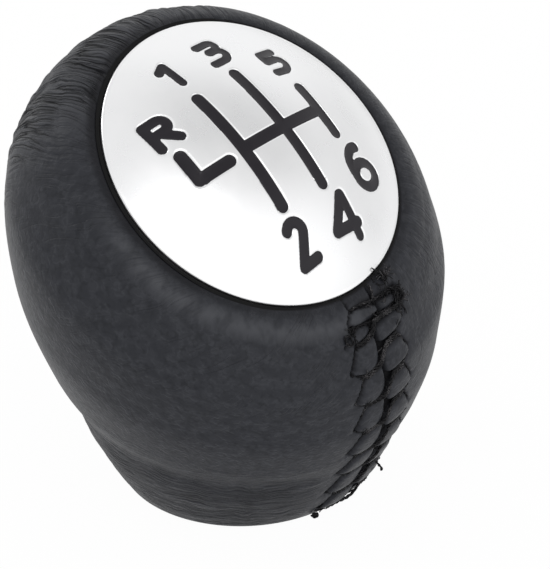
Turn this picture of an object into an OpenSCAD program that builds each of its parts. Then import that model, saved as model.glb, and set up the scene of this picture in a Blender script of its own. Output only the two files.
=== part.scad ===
// Leather-wrapped six-speed gear knob with a domed metal shift badge.
// Units are millimetres. Z runs up the lever, +Y points to the front of the car,
// and the origin is the middle of the lever socket's mouth, on the plane the knob stands on.

/* [Leather body] */
// Diameter over the leather at the foot
foot_d = 31.2; // [30:0.2:33]
// Diameter a little above the foot, where the rolled edge ends
roll_d = 34; // [33:0.2:36]
// Diameter at the neck
neck_d = 40; // [38:0.2:43]
// Diameter where the neck opens into the head
flank_d = 47.2; // [44:0.2:50]
// Diameter below the widest place
cheek_d = 53.2; // [50:0.2:55]
// Largest diameter of the head
belly_d = 55.6; // [53:0.2:60]
// How far the head's shoulder stands out beyond the badge's bezel
shoulder_out = 6.1; // [4.6:0.1:6.6]
// How far the leather's crown stands out beyond the badge's bezel
crown_out = 3.9; // [2.8:0.1:4.2]
// Height of the badge's edge above the foot, at its centre
badge_h = 44; // [42:0.5:48]
// Distance of the badge's centre behind the lever
badge_back = 3; // [1:0.5:5]
// Tilt of the badge towards the driver, in degrees
badge_tilt = 37.5; // [32:0.5:40]
// Thickness of the leather
leather_t = 1.3; // [1:0.1:1.5]
// Depth of the leather tucked in beside the badge
tuck_depth = 4; // [3.4:0.1:4.6]

/* [Laced seam] */
// Half width of the laced strip
strip_w = 4.4; // [3.8:0.1:4.8]
// Number of slanting stitches up the seam
lace_count = 8; // [6:1:9]
// Distance of the first stitch from the foot, along the seam
lace_foot_gap = 2.2; // [1.6:0.1:3]
// Distance of the last slanting stitch from the badge, along the seam
lace_badge_gap = 3.9; // [3.4:0.1:5]
// Distance of the level closing stitch from the badge
closing_gap = 2.2; // [1.6:0.1:2.6]
// How far the padded cells stand out
puff_h = 0.55; // [0.3:0.05:0.7]
// Depth of the valley where the two edges meet
valley_depth = 0.45; // [0.2:0.05:0.6]
// Rise of each stitch from the strip's middle to its edge
lace_rise = 2; // [1:0.1:2.6]
// Diameter of the lacing thread
lace_d = 0.7; // [0.5:0.05:0.9]
// Diameter of the edge stitching thread
edge_thread_d = 0.45; // [0.3:0.05:0.6]

/* [Badge] */
// Diameter of the metal badge
badge_d = 39; // [37:0.2:40]
// Height of the badge's dome above its edge
dome_rise = 5.8; // [5:0.1:6.5]
// Thickness of the badge's metal
badge_t = 1; // [0.8:0.1:1.2]
// Length of the badge's turned-down skirt
skirt = 1.2; // [0.8:0.1:1.6]
// Depth of the shift pattern's grooves
groove_depth = 0.45; // [0.3:0.05:0.6]
// How far the enamel lies below the metal
enamel_sink = 0.15; // [0.05:0.05:0.2]
// Thickness of the adhesive film under the badge
film_t = 0.25; // [0.15:0.05:0.4]
// Wall of the bezel round the badge
bezel_wall = 0.5; // [0.4:0.1:1]
// Wall of the carrier's dome
carrier_t = 1.8; // [1.4:0.1:2.2]
// Width of each clip leg of the carrier
leg_w = 4; // [3:0.2:5]
// Distance of the clip legs from the badge's centre
leg_r = 12.5; // [12:0.1:13]
// Reach of the clip legs below the seat
leg_drop = 5.5; // [4.5:0.1:6]

/* [Shift pattern] */
// Distance between two shift planes
plane_pitch = 6.85; // [6.4:0.05:7]
// Place of the first and second gear's plane
first_x = -4.5; // [-5:0.1:-4]
// Place of the neutral line
neutral_y = 0.5; // [0:0.1:1]
// Half length of the two long planes
long_reach = 8.1; // [7.4:0.1:8.4]
// Half length of the short plane on the right
short_reach = 3.45; // [3:0.05:3.8]
// Length of the reverse leg's upright
reverse_rise = 3.6; // [3:0.1:4]
// Length of the reverse leg's foot
reverse_foot = 4.4; // [3.6:0.1:4.6]
// Width of the lines
line_w = 1.6; // [1.2:0.1:1.8]
// Height of the front numerals and the reverse letter
small_h = 4.3; // [3.8:0.1:4.6]
// Height of the rear numerals
large_h = 6.4; // [5.6:0.1:6.6]
// Stroke of the front numerals
small_w = 1.1; // [0.9:0.05:1.15]
// Stroke of the rear numerals
large_w = 1.35; // [1.1:0.05:1.5]
// Stroke of the reverse letter
letter_w = 1.25; // [1:0.05:1.35]

/* [Lever socket] */
// Diameter of the lever that the socket takes
lever_d = 12; // [10:0.5:13]
// Depth of the socket
socket_depth = 26; // [20:0.5:27]
// Wall of the bush round the socket
bush_wall = 3; // [2.5:0.1:3.1]
// Closed end of the bush
bush_cap = 2.4; // [1.6:0.1:3]
// Number of ribs that stop the bush turning
bush_ribs = 4; // [2:1:6]
// Width and height of each rib
rib_w = 1.8; // [1.2:0.1:2.4]
// How far a rib stands out of the bush
rib_h = 1.1; // [0.6:0.1:1.2]

/* [Base ring] */
// Diameter of the ring's flange
ring_d = 26.4; // [25.6:0.1:27]
// Thickness of the flange
ring_t = 0.9; // [0.7:0.05:1]
// Length of the sleeve above the flange
sleeve_h = 5.4; // [4:0.1:7]
// Wall of the sleeve
sleeve_wall = 2.6; // [1.6:0.1:2.7]
// Height of the snap bead round the sleeve
bead = 0.3; // [0.2:0.05:0.5]

/* [Fits] */
// Clearance between rigid pieces
fit = 0.1; // [0.05:0.01:0.15]

/* [Hidden] */

leather_colour = [0.16, 0.16, 0.17];
plastic_colour = [0.05, 0.05, 0.055];
core_colour = [0.22, 0.22, 0.23];
bush_colour = [0.75, 0.74, 0.68];
metal_colour = [0.86, 0.87, 0.88];
enamel_colour = [0.03, 0.03, 0.03];
thread_colour = [0.07, 0.07, 0.075];
film_colour = [0.85, 0.85, 0.8];

// Roundness of turned surfaces, and how far a cut runs past the face it opens.
round_fn = 96;
dome_fn = 128;
over = 1;

// Badge: a spherical cap in its own frame, whose origin is the middle of its edge plane.
badge_r = badge_d / 2;
dome_r = (badge_r * badge_r + dome_rise * dome_rise) / (2 * dome_rise);
dome_z = dome_rise - dome_r;
bezel_ir = badge_r + fit;
bezel_or = bezel_ir + bezel_wall;
bezel_top = -0.3;
skirt_ir = badge_r - badge_t;
boss_r = skirt_ir - 2 * fit;
film_r = boss_r - 1.5;
carrier_ir = boss_r - carrier_t - 1;
tuck_ir = bezel_or + fit;
tuck_or = tuck_ir + leather_t;
pocket_r = tuck_or + fit / 2;
seat_z = -tuck_depth - 0.8;
lip_land = 0.45;
lip_z = -2.7;

// Lever bush, base ring and their seats in the core.
socket_r = lever_d / 2;
bush_r = socket_r + bush_wall;
bush_top = socket_depth + bush_cap;
rib_start = ring_t + sleeve_h + 1.2;
ring_ir = bush_r + fit;
sleeve_r = ring_ir + sleeve_wall;
recess_r = sleeve_r + fit;
sleeve_top = ring_t + sleeve_h;
recess_top = sleeve_top + 3 * fit;
ring_bevel = 0.3;
bead_h = 1.2;
bead_z = sleeve_top - 1.8;
hem_ir = recess_r + 2 * fit;
hem_z = ring_t + fit;
core_z = hem_z + leather_t;
foot_z = 0.6;

// Centre line of the loft: a cubic curve up the lever that bends back to the badge.
badge_centre = [-badge_back, badge_h];
badge_dir = [-sin(badge_tilt), cos(badge_tilt)];
start_pull = 14;
end_pull = 15;
bend_power = 1.1;
p0 = [0, foot_z];
p1 = p0 + start_pull * [0, 1];
p3 = badge_centre;
p2 = p3 - end_pull * badge_dir;

// Profile of the loft: how far up the centre line, and the radius there.
crown_share = 0.985;
stations = [[0, foot_d / 2], [0.05, roll_d / 2], [0.2, neck_d / 2], [0.36, flank_d / 2],
            [0.55, cheek_d / 2], [0.75, belly_d / 2], [0.87, bezel_or + shoulder_out],
            [0.945, bezel_or + crown_out], [crown_share, tuck_ir]];

// Columns of the loft's mesh: close together at the seam, even round the rest.
near_share = [0, 0.11, 0.3, 0.52, 0.75, 1, 1.14, 1.5];
near_n = len(near_share) - 1;
lace_n = 5;
far_n = 30;
columns = 1 + 2 * near_n + far_n;
// Rows of the outer skin: four to a cell of the seam.
cell_rows = 4;
inner_s = [0.925, 0.87, 0.8, 0.72, 0.62, 0.52, 0.42, 0.32, 0.22, 0.13, 0.06];

// The cubic curve and its speed.
function curve(s) = pow(1 - s, 3) * p0 + 3 * pow(1 - s, 2) * s * p1
    + 3 * (1 - s) * s * s * p2 + pow(s, 3) * p3;
function curve_step(s) = 3 * pow(1 - s, 2) * (p1 - p0) + 6 * (1 - s) * s * (p2 - p1)
    + 3 * s * s * (p3 - p2);
function lean(s) = badge_tilt * pow(s, bend_power);

// Smooth radius through the stations, with slopes that never overshoot.
last = len(stations) - 1;
function rise(i) = (stations[i + 1][1] - stations[i][1]) / (stations[i + 1][0] - stations[i][0]);
function blend_slope(a, b) = a * b <= 0 ? 0 : 2 * a * b / (a + b);
slopes = [for (i = [0 : last]) i == 0 ? rise(0) : i == last ? rise(last - 1)
    : blend_slope(rise(i - 1), rise(i))];
function span(s, i = 0) = i == last - 1 || s < stations[i + 1][0] ? i : span(s, i + 1);
function hermite(u, a, b, da, db) = (2 * pow(u, 3) - 3 * u * u + 1) * a + (pow(u, 3) - 2 * u * u + u) * da
    + (3 * u * u - 2 * pow(u, 3)) * b + (pow(u, 3) - u * u) * db;
function radius(s) = let (i = span(s), w = stations[i + 1][0] - stations[i][0],
    u = (s - stations[i][0]) / w)
    hermite(u, stations[i][1], stations[i + 1][1], slopes[i] * w, slopes[i + 1] * w);
function profile_angle(s) = let (e = 0.004, a = max(0, s - e), b = min(crown_share, s + e))
    atan2(radius(b) - radius(a), (b - a) * norm(curve_step(s)));

// A ring of the loft is [centre y, centre z, lean, radius]; this one lies at depth d under the skin.
function skin_ring(s, d = 0) = let (a = profile_angle(s), c = curve(s), t = lean(s),
    shift = d * sin(a))
    [c[0] - shift * sin(t), c[1] + shift * cos(t), t, radius(s) - d * cos(a)];
function badge_ring(r, z) = [badge_centre[0] + z * badge_dir[0], badge_centre[1] + z * badge_dir[1],
    badge_tilt, r];
function foot_ring(r, z) = [0, z, 0, r];

// Sideways distance of a column from the seam, in mm, and its angle round a ring of radius r.
function strip_x(k) = near_share[k] * strip_w;
function column_x(j) = j <= near_n ? strip_x(j) : j >= columns - near_n ? -strip_x(columns - j)
    : 4 * strip_w;
function column_angle(j, r) = let (edge = strip_x(near_n) / r * 180 / PI)
    j <= near_n || j >= columns - near_n ? column_x(j) / r * 180 / PI
    : edge + (360 - 2 * edge) * (j - near_n) / (far_n + 1);
function ring_point(g, a) = [g[3] * sin(a), g[0] - g[3] * cos(a) * cos(g[2]),
    g[1] - g[3] * cos(a) * sin(g[2])];
function ring_points(g) = [for (j = [0 : columns - 1]) ring_point(g, column_angle(j, g[3]))];

// The seam's relief: padded cells between slanting stitches, and a valley where the edges meet.
function strip_fade(x) = abs(x) <= strip_w ? 1 : max(0, 1 - (abs(x) - strip_w) / strip_w);
foot_fade_share = 0.12;
crown_fade_share = 0.09;
valley_w = 1.4;
function end_fade(s) = max(0, min(1, s / foot_fade_share, (crown_share - s) / crown_fade_share));
function seam_point(s) = ring_point(skin_ring(s), 0);

// Table of the seam's length in mm against the share, and the stitches' places taken from it.
seam_steps = 80;
function seam_gap(i) = norm(seam_point(i * crown_share / seam_steps) - seam_point((i - 1) * crown_share / seam_steps));
seam_table = [for (i = 0, a = 0; i <= seam_steps; a = a + seam_gap(i + 1), i = i + 1)
              [a, i * crown_share / seam_steps]];
seam_length = seam_table[seam_steps][0];
lace_pitch = (seam_length - lace_foot_gap - lace_badge_gap) / (lace_count - 1);
lace_s = [for (k = [0 : lace_count - 1]) lookup(lace_foot_gap + k * lace_pitch, seam_table),
          lookup(seam_length - closing_gap, seam_table)];
function cell_s(i, u) = lace_s[i] + u * (lace_s[i + 1] - lace_s[i]);
outer_s = concat([0, 0.02], [for (i = [0 : lace_count - 1], r = [0 : cell_rows - 1]) cell_s(i, r / cell_rows)],
                 [lace_s[lace_count], 0.976, crown_share]);
function seam_speed(s) = let (e = 0.01, a = max(0, s - e), b = min(crown_share, s + e))
    norm(seam_point(b) - seam_point(a)) / (b - a);
function slant(s, x) = lace_rise / seam_speed(s) * max(-1, min(1, x / strip_w)) * strip_fade(x) * end_fade(s);
cell_table = [for (i = [0 : lace_count]) [lace_s[i], i]];
function cell_phase(s) = let (c = lookup(s, cell_table)) c - floor(c);
function puff(s, x) = puff_h * sin(180 * cell_phase(s)) * sin(180 * abs(x) / strip_w);
function valley(x) = valley_depth * max(0, 1 - abs(x) / valley_w);
function relief(s, x) = abs(x) >= strip_w ? 0 : end_fade(s) * (puff(s, x) - valley(x));
function skin_point(s, j, lift = 0) = let (x = column_x(j),
    g = skin_ring(s + slant(s, x), -relief(s, x) - lift))
    ring_point(g, column_angle(j, g[3]));
function skin_points(s) = [for (j = [0 : columns - 1]) skin_point(s, j)];
function skin_normal(s, j) = unit(skin_point(s, j, 1) - skin_point(s, j));

// Faces that join row i of points to row k. The inner skin runs down and the core's runs up,
// so the core takes the other diagonal and the two surfaces are the same.
function band(i, k, n, other = false) = [for (j = [0 : n - 1]) let (m = (j + 1) % n, a = i * n, b = k * n)
    each other ? [[a + j, a + m, b + j], [a + m, b + m, b + j]]
               : [[a + j, a + m, b + m], [a + j, b + m, b + j]]];

// A tube swept along points, with closed ends.
function unit(v) = v / norm(v);
function tube_dir(p, i) = unit(p[min(i + 1, len(p) - 1)] - p[max(i - 1, 0)]);
module tube(path, up, r, sides = 6) {
    rows = [for (i = [0 : len(path) - 1]) let (d = tube_dir(path, i), b = unit(cross(d, up[i])),
        u = cross(b, d), step = 360 / sides)
        [for (k = [0 : sides - 1]) path[i] + r * (cos(k * step) * b + sin(k * step) * u)]];
    n = len(path);
    polyhedron(points = [for (row = rows) each row],
        faces = concat([for (i = [0 : n - 2]) each band(i, i + 1, sides)],
            [[for (k = [sides - 1 : -1 : 0]) k]], [[for (k = [0 : sides - 1]) (n - 1) * sides + k]]));
}

// Outline of a pen stroke of width w along points, with round ends.
function left_of(d) = [-d[1], d[0]];
function stroke_normal(p, i) = let (a = unit(p[max(i, 1)] - p[max(i, 1) - 1]),
    b = unit(p[min(i, len(p) - 2) + 1] - p[min(i, len(p) - 2)]), m = unit(left_of(a) + left_of(b)))
    m / (m * left_of(a));
function half_round(c, n, w) = [for (k = [1 : 5]) let (a = -30 * k)
    c + w / 2 * [n[0] * cos(a) - n[1] * sin(a), n[0] * sin(a) + n[1] * cos(a)]];
module stroke(p, w) {
    n = [for (i = [0 : len(p) - 1]) stroke_normal(p, i)];
    e = len(p) - 1;
    polygon(concat([for (i = [0 : e]) p[i] + n[i] * w / 2], half_round(p[e], n[e], w),
        [for (i = [e : -1 : 0]) p[i] - n[i] * w / 2], half_round(p[0], -n[0], w)));
}
function bow(c, r, a, b, steps = 7) = [for (i = [0 : steps]) let (t = a + (b - a) * i / steps)
    c + [r[0] * cos(t), r[1] * sin(t)]];

// Each figure as pen strokes on a field that runs from -0.5 to 0.5 in height.
function figure(name) =
    name == 1 ? [[[0.12, 0.5], [0.12, -0.5]], [[0.12, 0.5], [-0.24, 0.3]]] :
    name == 2 ? [concat(bow([-0.04, 0.27], [0.22, 0.23], 155, -15), [[-0.19, -0.5]]),
                 [[-0.19, -0.5], [0.26, -0.46]]] :
    name == 3 ? [concat([[-0.4, 0.5]], bow([0.18, 0.29], [0.22, 0.21], 90, -90), [[-0.12, 0.08]]),
                 concat([[-0.15, 0.06]], bow([0.08, -0.22], [0.36, 0.28], 90, -90), [[-0.43, -0.5]])] :
    name == 4 ? [[[0.24, 0.5], [0.28, -0.5]], [[0.2, 0.5], [-0.37, -0.22]], [[-0.37, -0.22], [0.4, -0.22]]] :
    name == 5 ? [[[-0.38, 0.5], [0.35, 0.48]], [[-0.38, 0.5], [-0.38, 0.12]],
                 concat([[-0.38, 0.12]], bow([0.08, -0.19], [0.38, 0.31], 90, -90), [[-0.4, -0.46]])] :
    name == 6 ? [bow([0.05, 0.03], [0.42, 0.47], 78, 190), bow([-0.01, -0.2], [0.34, 0.3], -20, 170),
                 bow([-0.01, -0.2], [0.34, 0.3], 165, 345)] :
    [[[-0.35, 0.5], [-0.35, -0.5]], [[-0.03, 0.02], [0.46, -0.45]],
     concat([[-0.35, 0.5]], bow([0.16, 0.26], [0.26, 0.24], 90, -90), [[-0.35, 0.02]])];

// Shift planes, the ends of their lines, and the gaps from there to the figures.
second_x = first_x + plane_pitch;
third_x = second_x + plane_pitch;
reverse_x = first_x - plane_pitch;
letter_h = small_h + 0.4;
front_gap = 1.6;
rear_gap = 0.65;
short_rear_gap = 1;
letter_gap = 0.15;
second_extra = 0.6;
front_y = neutral_y + long_reach + line_w / 2 + front_gap;
rear_y = neutral_y - long_reach - line_w / 2 - rear_gap;
short_front_y = neutral_y + short_reach + line_w / 2 + front_gap;
short_rear_y = neutral_y - short_reach - line_w / 2 - short_rear_gap;
reverse_y = neutral_y + reverse_rise + line_w / 2 + letter_gap;
reverse_low = neutral_y - line_w / 4;

// Where each figure stands: name, middle of its field, height and stroke.
figures = [[1, [first_x, front_y + small_h / 2], small_h, small_w],
           [3, [second_x + 0.4, front_y + small_h / 2], small_h, small_w],
           [5, [third_x + 0.1, short_front_y + small_h / 2], small_h, small_w],
           [2, [first_x + 0.1, rear_y - large_h / 2], large_h, large_w],
           [4, [second_x + 0.5, rear_y - large_h / 2], large_h, large_w],
           [6, [third_x + 1, short_rear_y - large_h / 2], large_h, large_w],
           ["R", [reverse_x + 0.2, reverse_y + letter_h / 2], letter_h, letter_w]];
module gate_shape() {
    stroke([[first_x, neutral_y - long_reach], [first_x, neutral_y + long_reach]], line_w);
    stroke([[second_x, neutral_y - long_reach], [second_x, neutral_y + long_reach + second_extra]], line_w);
    stroke([[third_x, neutral_y - short_reach], [third_x, neutral_y + short_reach]], line_w);
    stroke([[first_x, neutral_y], [third_x, neutral_y]], line_w);
}
module reverse_leg_shape() {
    stroke([[reverse_x, neutral_y + reverse_rise - line_w / 4], [reverse_x, reverse_low]], line_w);
    stroke([[reverse_x, reverse_low], [reverse_x + reverse_foot, reverse_low]], line_w);
}
module figure_shape(name) {
    for (f = figures) if (f[0] == name) translate(f[1])
        for (path = figure(name)) stroke([for (p = path) p * (f[2] - f[3])], f[3]);
}
module pattern_shape() {
    gate_shape();
    reverse_leg_shape();
    for (f = figures) figure_shape(f[0]);
}

// Moves a piece from the badge's own frame to its place on the tilted head.
module on_badge() {
    translate([0, -badge_back, badge_h]) rotate([badge_tilt, 0, 0]) children();
}
module dome(depth) {
    translate([0, 0, dome_z]) sphere(r = dome_r - depth, $fn = dome_fn);
}
module disc_block(r, z_low, z_high) {
    translate([0, 0, z_low]) cylinder(r = r, h = z_high - z_low, $fn = round_fn);
}
// The part of a drawing that lies between two depths under the dome.
module dome_layer(top, bottom) {
    difference() {
        intersection() {
            linear_extrude(height = dome_rise + over) children();
            dome(top);
        }
        dome(bottom);
    }
}

// Thin leather wrap: outer skin, tuck beside the badge, inner skin and hem under the core.
module leather_cover() {
    rows = concat(
        [for (s = outer_s) skin_points(s)],
        [for (g = [badge_ring(tuck_ir, -tuck_depth), badge_ring(tuck_or, -tuck_depth),
                   badge_ring(tuck_or, lip_z), badge_ring(pocket_r + lip_land, lip_z)]) ring_points(g)],
        [for (s = inner_s) ring_points(skin_ring(s, leather_t))],
        [for (g = [foot_ring(foot_d / 2 - leather_t, core_z), foot_ring(hem_ir, core_z),
                   foot_ring(hem_ir, hem_z), foot_ring(ring_d / 2 + 3 * fit, hem_z),
                   foot_ring(foot_d / 2 - leather_t / 2, foot_z / 2)]) ring_points(g)]);
    n = len(rows);
    color(leather_colour) polyhedron(points = [for (row = rows) each row],
        faces = [for (i = [0 : n - 1]) each band(i, (i + 1) % n, columns)]);
}

// Moulded core that fills the leather and holds the badge and the bush.
module core_blank() {
    rows = concat([ring_points(foot_ring(foot_d / 2 - leather_t, core_z))],
        [for (i = [len(inner_s) - 1 : -1 : 0]) ring_points(skin_ring(inner_s[i], leather_t))],
        [ring_points(badge_ring(pocket_r + lip_land, lip_z))]);
    n = len(rows);
    polyhedron(points = [for (row = rows) each row],
        faces = concat([for (i = [0 : n - 2]) each band(i, i + 1, columns, true)],
            [[for (k = [columns - 1 : -1 : 0]) k]], [[for (k = [0 : columns - 1]) (n - 1) * columns + k]]));
}
module knob_core() {
    color(core_colour) difference() {
        core_blank();
        on_badge() disc_block(pocket_r, seat_z, over);
        on_badge() at_legs() leg_slot();
        disc_block(recess_r, core_z - over, recess_top);
        disc_block(recess_r + bead, bead_z - fit, bead_z + bead_h + fit);
        disc_block(bush_r + fit / 2, 0, bush_top);
        bush_rib_set(fit / 2);
    }
}

// Ribbed bush pressed into the core; its blind bore takes the lever.
rib_turn = 45;
rib_root = socket_r + bush_wall / 2;
module bush_rib_set(gap) {
    for (a = [0 : 360 / bush_ribs : 359]) rotate([0, 0, a + rib_turn])
        translate([rib_root, -rib_w / 2 - gap, rib_start])
            cube([bush_r + rib_h + gap - rib_root, rib_w + 2 * gap, bush_top - rib_start]);
}
module lever_bush() {
    color(bush_colour) difference() {
        union() {
            disc_block(bush_r, 0, bush_top);
            bush_rib_set(0);
        }
        disc_block(socket_r, -over, socket_depth);
    }
}

// Snap ring that closes the underside and holds the hem against the core.
module base_ring() {
    color(plastic_colour) rotate_extrude($fn = round_fn) polygon([
        [ring_ir, 0], [ring_d / 2 - ring_bevel, 0], [ring_d / 2, ring_bevel], [ring_d / 2, ring_t],
        [sleeve_r, ring_t], [sleeve_r, bead_z], [sleeve_r + bead, bead_z + bead_h / 3],
        [sleeve_r + bead, bead_z + bead_h * 2 / 3], [sleeve_r, bead_z + bead_h],
        [sleeve_r - ring_bevel, sleeve_top], [ring_ir, sleeve_top]]);
}

// One clip leg of the carrier, with a hook that snaps outwards under the seat.
leg_angles = [90, 210, 330];
leg_t = 1.4;
leg_tip = 1;
hook = 0.8;
hook_ramp = 1.6;
hook_land = 0.6;
leg_low = seat_z - leg_drop;
hook_low = leg_low + hook_ramp;
hook_top = hook_low + hook_land + 0.2;
leg_top = dome_z + sqrt(pow(dome_r - badge_t - film_t - carrier_t / 2, 2) - leg_r * leg_r);
module at_legs() {
    for (a = leg_angles) rotate([0, 0, a]) children();
}
module clip_leg() {
    rotate([90, 0, 0]) translate([0, 0, -leg_w / 2]) linear_extrude(height = leg_w) polygon([
        [leg_r - leg_t, leg_top], [leg_r - leg_t, leg_low], [leg_r - leg_t + leg_tip, leg_low],
        [leg_r + hook, hook_low], [leg_r + hook, hook_low + hook_land], [leg_r, hook_top], [leg_r, leg_top]]);
}
module leg_slot() {
    gap = 2 * fit;
    translate([leg_r - leg_t - gap, -leg_w / 2 - gap, leg_low - gap])
        cube([leg_t + 2 * gap, leg_w + 2 * gap, leg_drop + gap + over]);
    translate([leg_r - leg_t, -leg_w / 2 - gap, leg_low - gap])
        cube([leg_t + hook + gap, leg_w + 2 * gap, hook_top - leg_low + 2 * gap]);
}

// Gloss cup under the badge: bezel wall, domed floor and clip legs.
module badge_carrier() {
    under = badge_t + film_t;
    color(plastic_colour) on_badge() {
        difference() {
            union() {
                disc_block(bezel_or, seat_z, -skirt - 2 * fit);
                difference() {
                    disc_block(bezel_or, seat_z, bezel_top);
                    disc_block(bezel_ir, seat_z - over, over);
                }
                intersection() {
                    disc_block(boss_r, seat_z, dome_rise);
                    dome(under);
                }
            }
            intersection() {
                disc_block(carrier_ir, seat_z - over, dome_rise);
                dome(under + carrier_t);
            }
        }
        at_legs() clip_leg();
    }
}

// Thin adhesive film, domed like the badge.
module adhesive_film() {
    color(film_colour) on_badge() difference() {
        intersection() {
            disc_block(film_r, -skirt, dome_rise);
            dome(badge_t);
        }
        dome(badge_t + film_t);
    }
}

// Domed metal badge with a turned-down skirt and the shift pattern sunk in its face.
module badge_disc() {
    color(metal_colour) on_badge() difference() {
        intersection() {
            disc_block(badge_r, -skirt, dome_rise + over);
            union() {
                dome(0);
                disc_block(badge_r + over, -skirt - over, 0);
            }
        }
        intersection() {
            disc_block(skirt_ir, -skirt - over, dome_rise);
            union() {
                dome(badge_t);
                disc_block(badge_r + over, -skirt - 2 * over, -badge_t);
            }
        }
        dome_layer(-over, groove_depth) pattern_shape();
    }
}

// Gloss enamel that fills one shape of the pattern.
module enamel() {
    color(enamel_colour) on_badge() dome_layer(enamel_sink, groove_depth) children();
}
module gate_enamel() {
    enamel() gate_shape();
}
module reverse_leg_enamel() {
    enamel() reverse_leg_shape();
}
module figure_enamel(name) {
    enamel() figure_shape(name);
}

// Lacing thread: one slanting stitch at each boundary between two cells.
lace_columns = [for (k = [lace_n : -1 : 1]) columns - k, for (k = [0 : lace_n]) k];
thread_gap = 0.1;
function lace_path(s, r) = [for (j = lace_columns) skin_point(s, j, r + thread_gap)];
function lace_up(s) = [for (j = lace_columns) skin_normal(s, j)];
module lacing_thread() {
    color(thread_colour) for (s = lace_s)
        tube(lace_path(s, lace_d / 2), lace_up(s), lace_d / 2);
}

// Edge stitching: one short stitch beside each cell, just outside the laced strip.
edge_steps = [0.12, 0.25, 0.5, 0.75, 0.88];
function edge_column(side) = side > 0 ? lace_n + 1 : columns - lace_n - 1;
function edge_path(i, side, r) = [for (e = edge_steps)
    skin_point(cell_s(i, e), edge_column(side), r + thread_gap)];
function edge_up(i, side) = [for (e = edge_steps)
    skin_normal(cell_s(i, e), edge_column(side))];
module edge_stitch(side) {
    color(thread_colour) for (i = [0 : lace_count - 1])
        tube(edge_path(i, side, edge_thread_d / 2), edge_up(i, side), edge_thread_d / 2);
}

leather_cover();
knob_core();
lever_bush();
base_ring();
badge_carrier();
adhesive_film();
badge_disc();
gate_enamel();
reverse_leg_enamel();
figure_enamel(1);  // numeral_1_enamel
figure_enamel(2);  // numeral_2_enamel
figure_enamel(3);  // numeral_3_enamel
figure_enamel(4);  // numeral_4_enamel
figure_enamel(5);  // numeral_5_enamel
figure_enamel(6);  // numeral_6_enamel
figure_enamel("R");  // letter_r_enamel
lacing_thread();
edge_stitch(-1);  // edge_stitch_left
edge_stitch(1);  // edge_stitch_right
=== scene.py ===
# %% [markdown]
# # A leather-wrapped gear knob
# The knob is a moulded core in a tight leather cover, laced together up the back, with a domed
# metal badge on top that shows the shift pattern. The solids come from the frame and stay where
# they are. This script gives them their finishes, and replaces the leather, the badge, the enamel
# and the threads by finely made meshes of the same size in the same place. Two helpers put every
# object and mesh in the scene.

import math

import bpy
import numpy as np
from mathutils import Matrix, Vector


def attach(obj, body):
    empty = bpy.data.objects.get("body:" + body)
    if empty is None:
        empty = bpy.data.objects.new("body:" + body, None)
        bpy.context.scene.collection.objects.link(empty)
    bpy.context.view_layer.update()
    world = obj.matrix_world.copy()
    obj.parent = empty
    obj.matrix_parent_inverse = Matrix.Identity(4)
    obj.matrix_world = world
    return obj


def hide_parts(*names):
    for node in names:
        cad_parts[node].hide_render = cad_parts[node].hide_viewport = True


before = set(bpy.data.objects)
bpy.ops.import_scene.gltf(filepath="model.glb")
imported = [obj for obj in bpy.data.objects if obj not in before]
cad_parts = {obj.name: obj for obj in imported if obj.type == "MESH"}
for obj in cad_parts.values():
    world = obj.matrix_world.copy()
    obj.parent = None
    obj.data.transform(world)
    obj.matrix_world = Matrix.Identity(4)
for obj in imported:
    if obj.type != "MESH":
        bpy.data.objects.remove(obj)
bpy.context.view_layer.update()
MM = 0.001
BODY = "root"


def put_in_scene(name, data):
    """An object with this data, in the scene."""
    thing = bpy.data.objects.new(name, data)
    bpy.context.scene.collection.objects.link(thing)
    return thing


def mesh_piece(name, points, edges, faces):
    """A smooth mesh in the scene, from points in mm."""
    mesh = bpy.data.meshes.new(name)
    mesh.from_pydata((np.asarray(points) * MM).tolist(), edges, faces)
    mesh.shade_smooth()
    return put_in_scene(name, mesh)


# %% [markdown]
# ## The camera
# The photograph looks down on the knob from behind and from the left, through a long lens. The
# camera is set by what a photographer would note: the bearing, the height angle, a slight roll, the
# distance and the point that the lens is aimed at.

# %% Camera
IMAGE_LONG_SIDE = 569
FOCAL_PIXELS = 3365
SENSOR = 36.0
AIM = Vector((3.0, -3.2, 25.4)) * MM
DISTANCE = 411.5 * MM
BEARING = math.radians(46.72)
HEIGHT_ANGLE = math.radians(31.43)
ROLL = math.radians(1.80)


def make_camera():
    """A camera at DISTANCE from AIM that looks along BEARING and down by HEIGHT_ANGLE."""
    forward = Vector((math.sin(BEARING) * math.cos(HEIGHT_ANGLE),
                      math.cos(BEARING) * math.cos(HEIGHT_ANGLE), -math.sin(HEIGHT_ANGLE)))
    level_right = forward.cross(Vector((0, 0, 1))).normalized()
    up = level_right.cross(forward) * math.cos(ROLL) + level_right * math.sin(ROLL)
    data = bpy.data.cameras.new("camera")
    data.sensor_width = SENSOR
    data.lens = FOCAL_PIXELS * SENSOR / IMAGE_LONG_SIDE
    data.clip_start = 0.01
    camera = put_in_scene("camera", data)
    turn = Matrix((forward.cross(up), up, -forward)).transposed().to_4x4()
    camera.matrix_world = Matrix.Translation(AIM - forward * DISTANCE) @ turn
    bpy.context.scene.camera = camera
    return camera


camera = make_camera()
bpy.context.scene.view_settings.view_transform = "Standard"
print("lens", round(camera.data.lens, 1), "mm, place", [round(v / MM) for v in camera.location])

# %% [markdown]
# ## Small helpers for node trees
# Materials and geometry nodes are both built from nodes. One helper adds a node, sets its
# properties and fills its sockets. It gives back a Value, which is the node's output, and the signs
# + - * / between values add Math nodes, so that node maths reads like any other.


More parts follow.
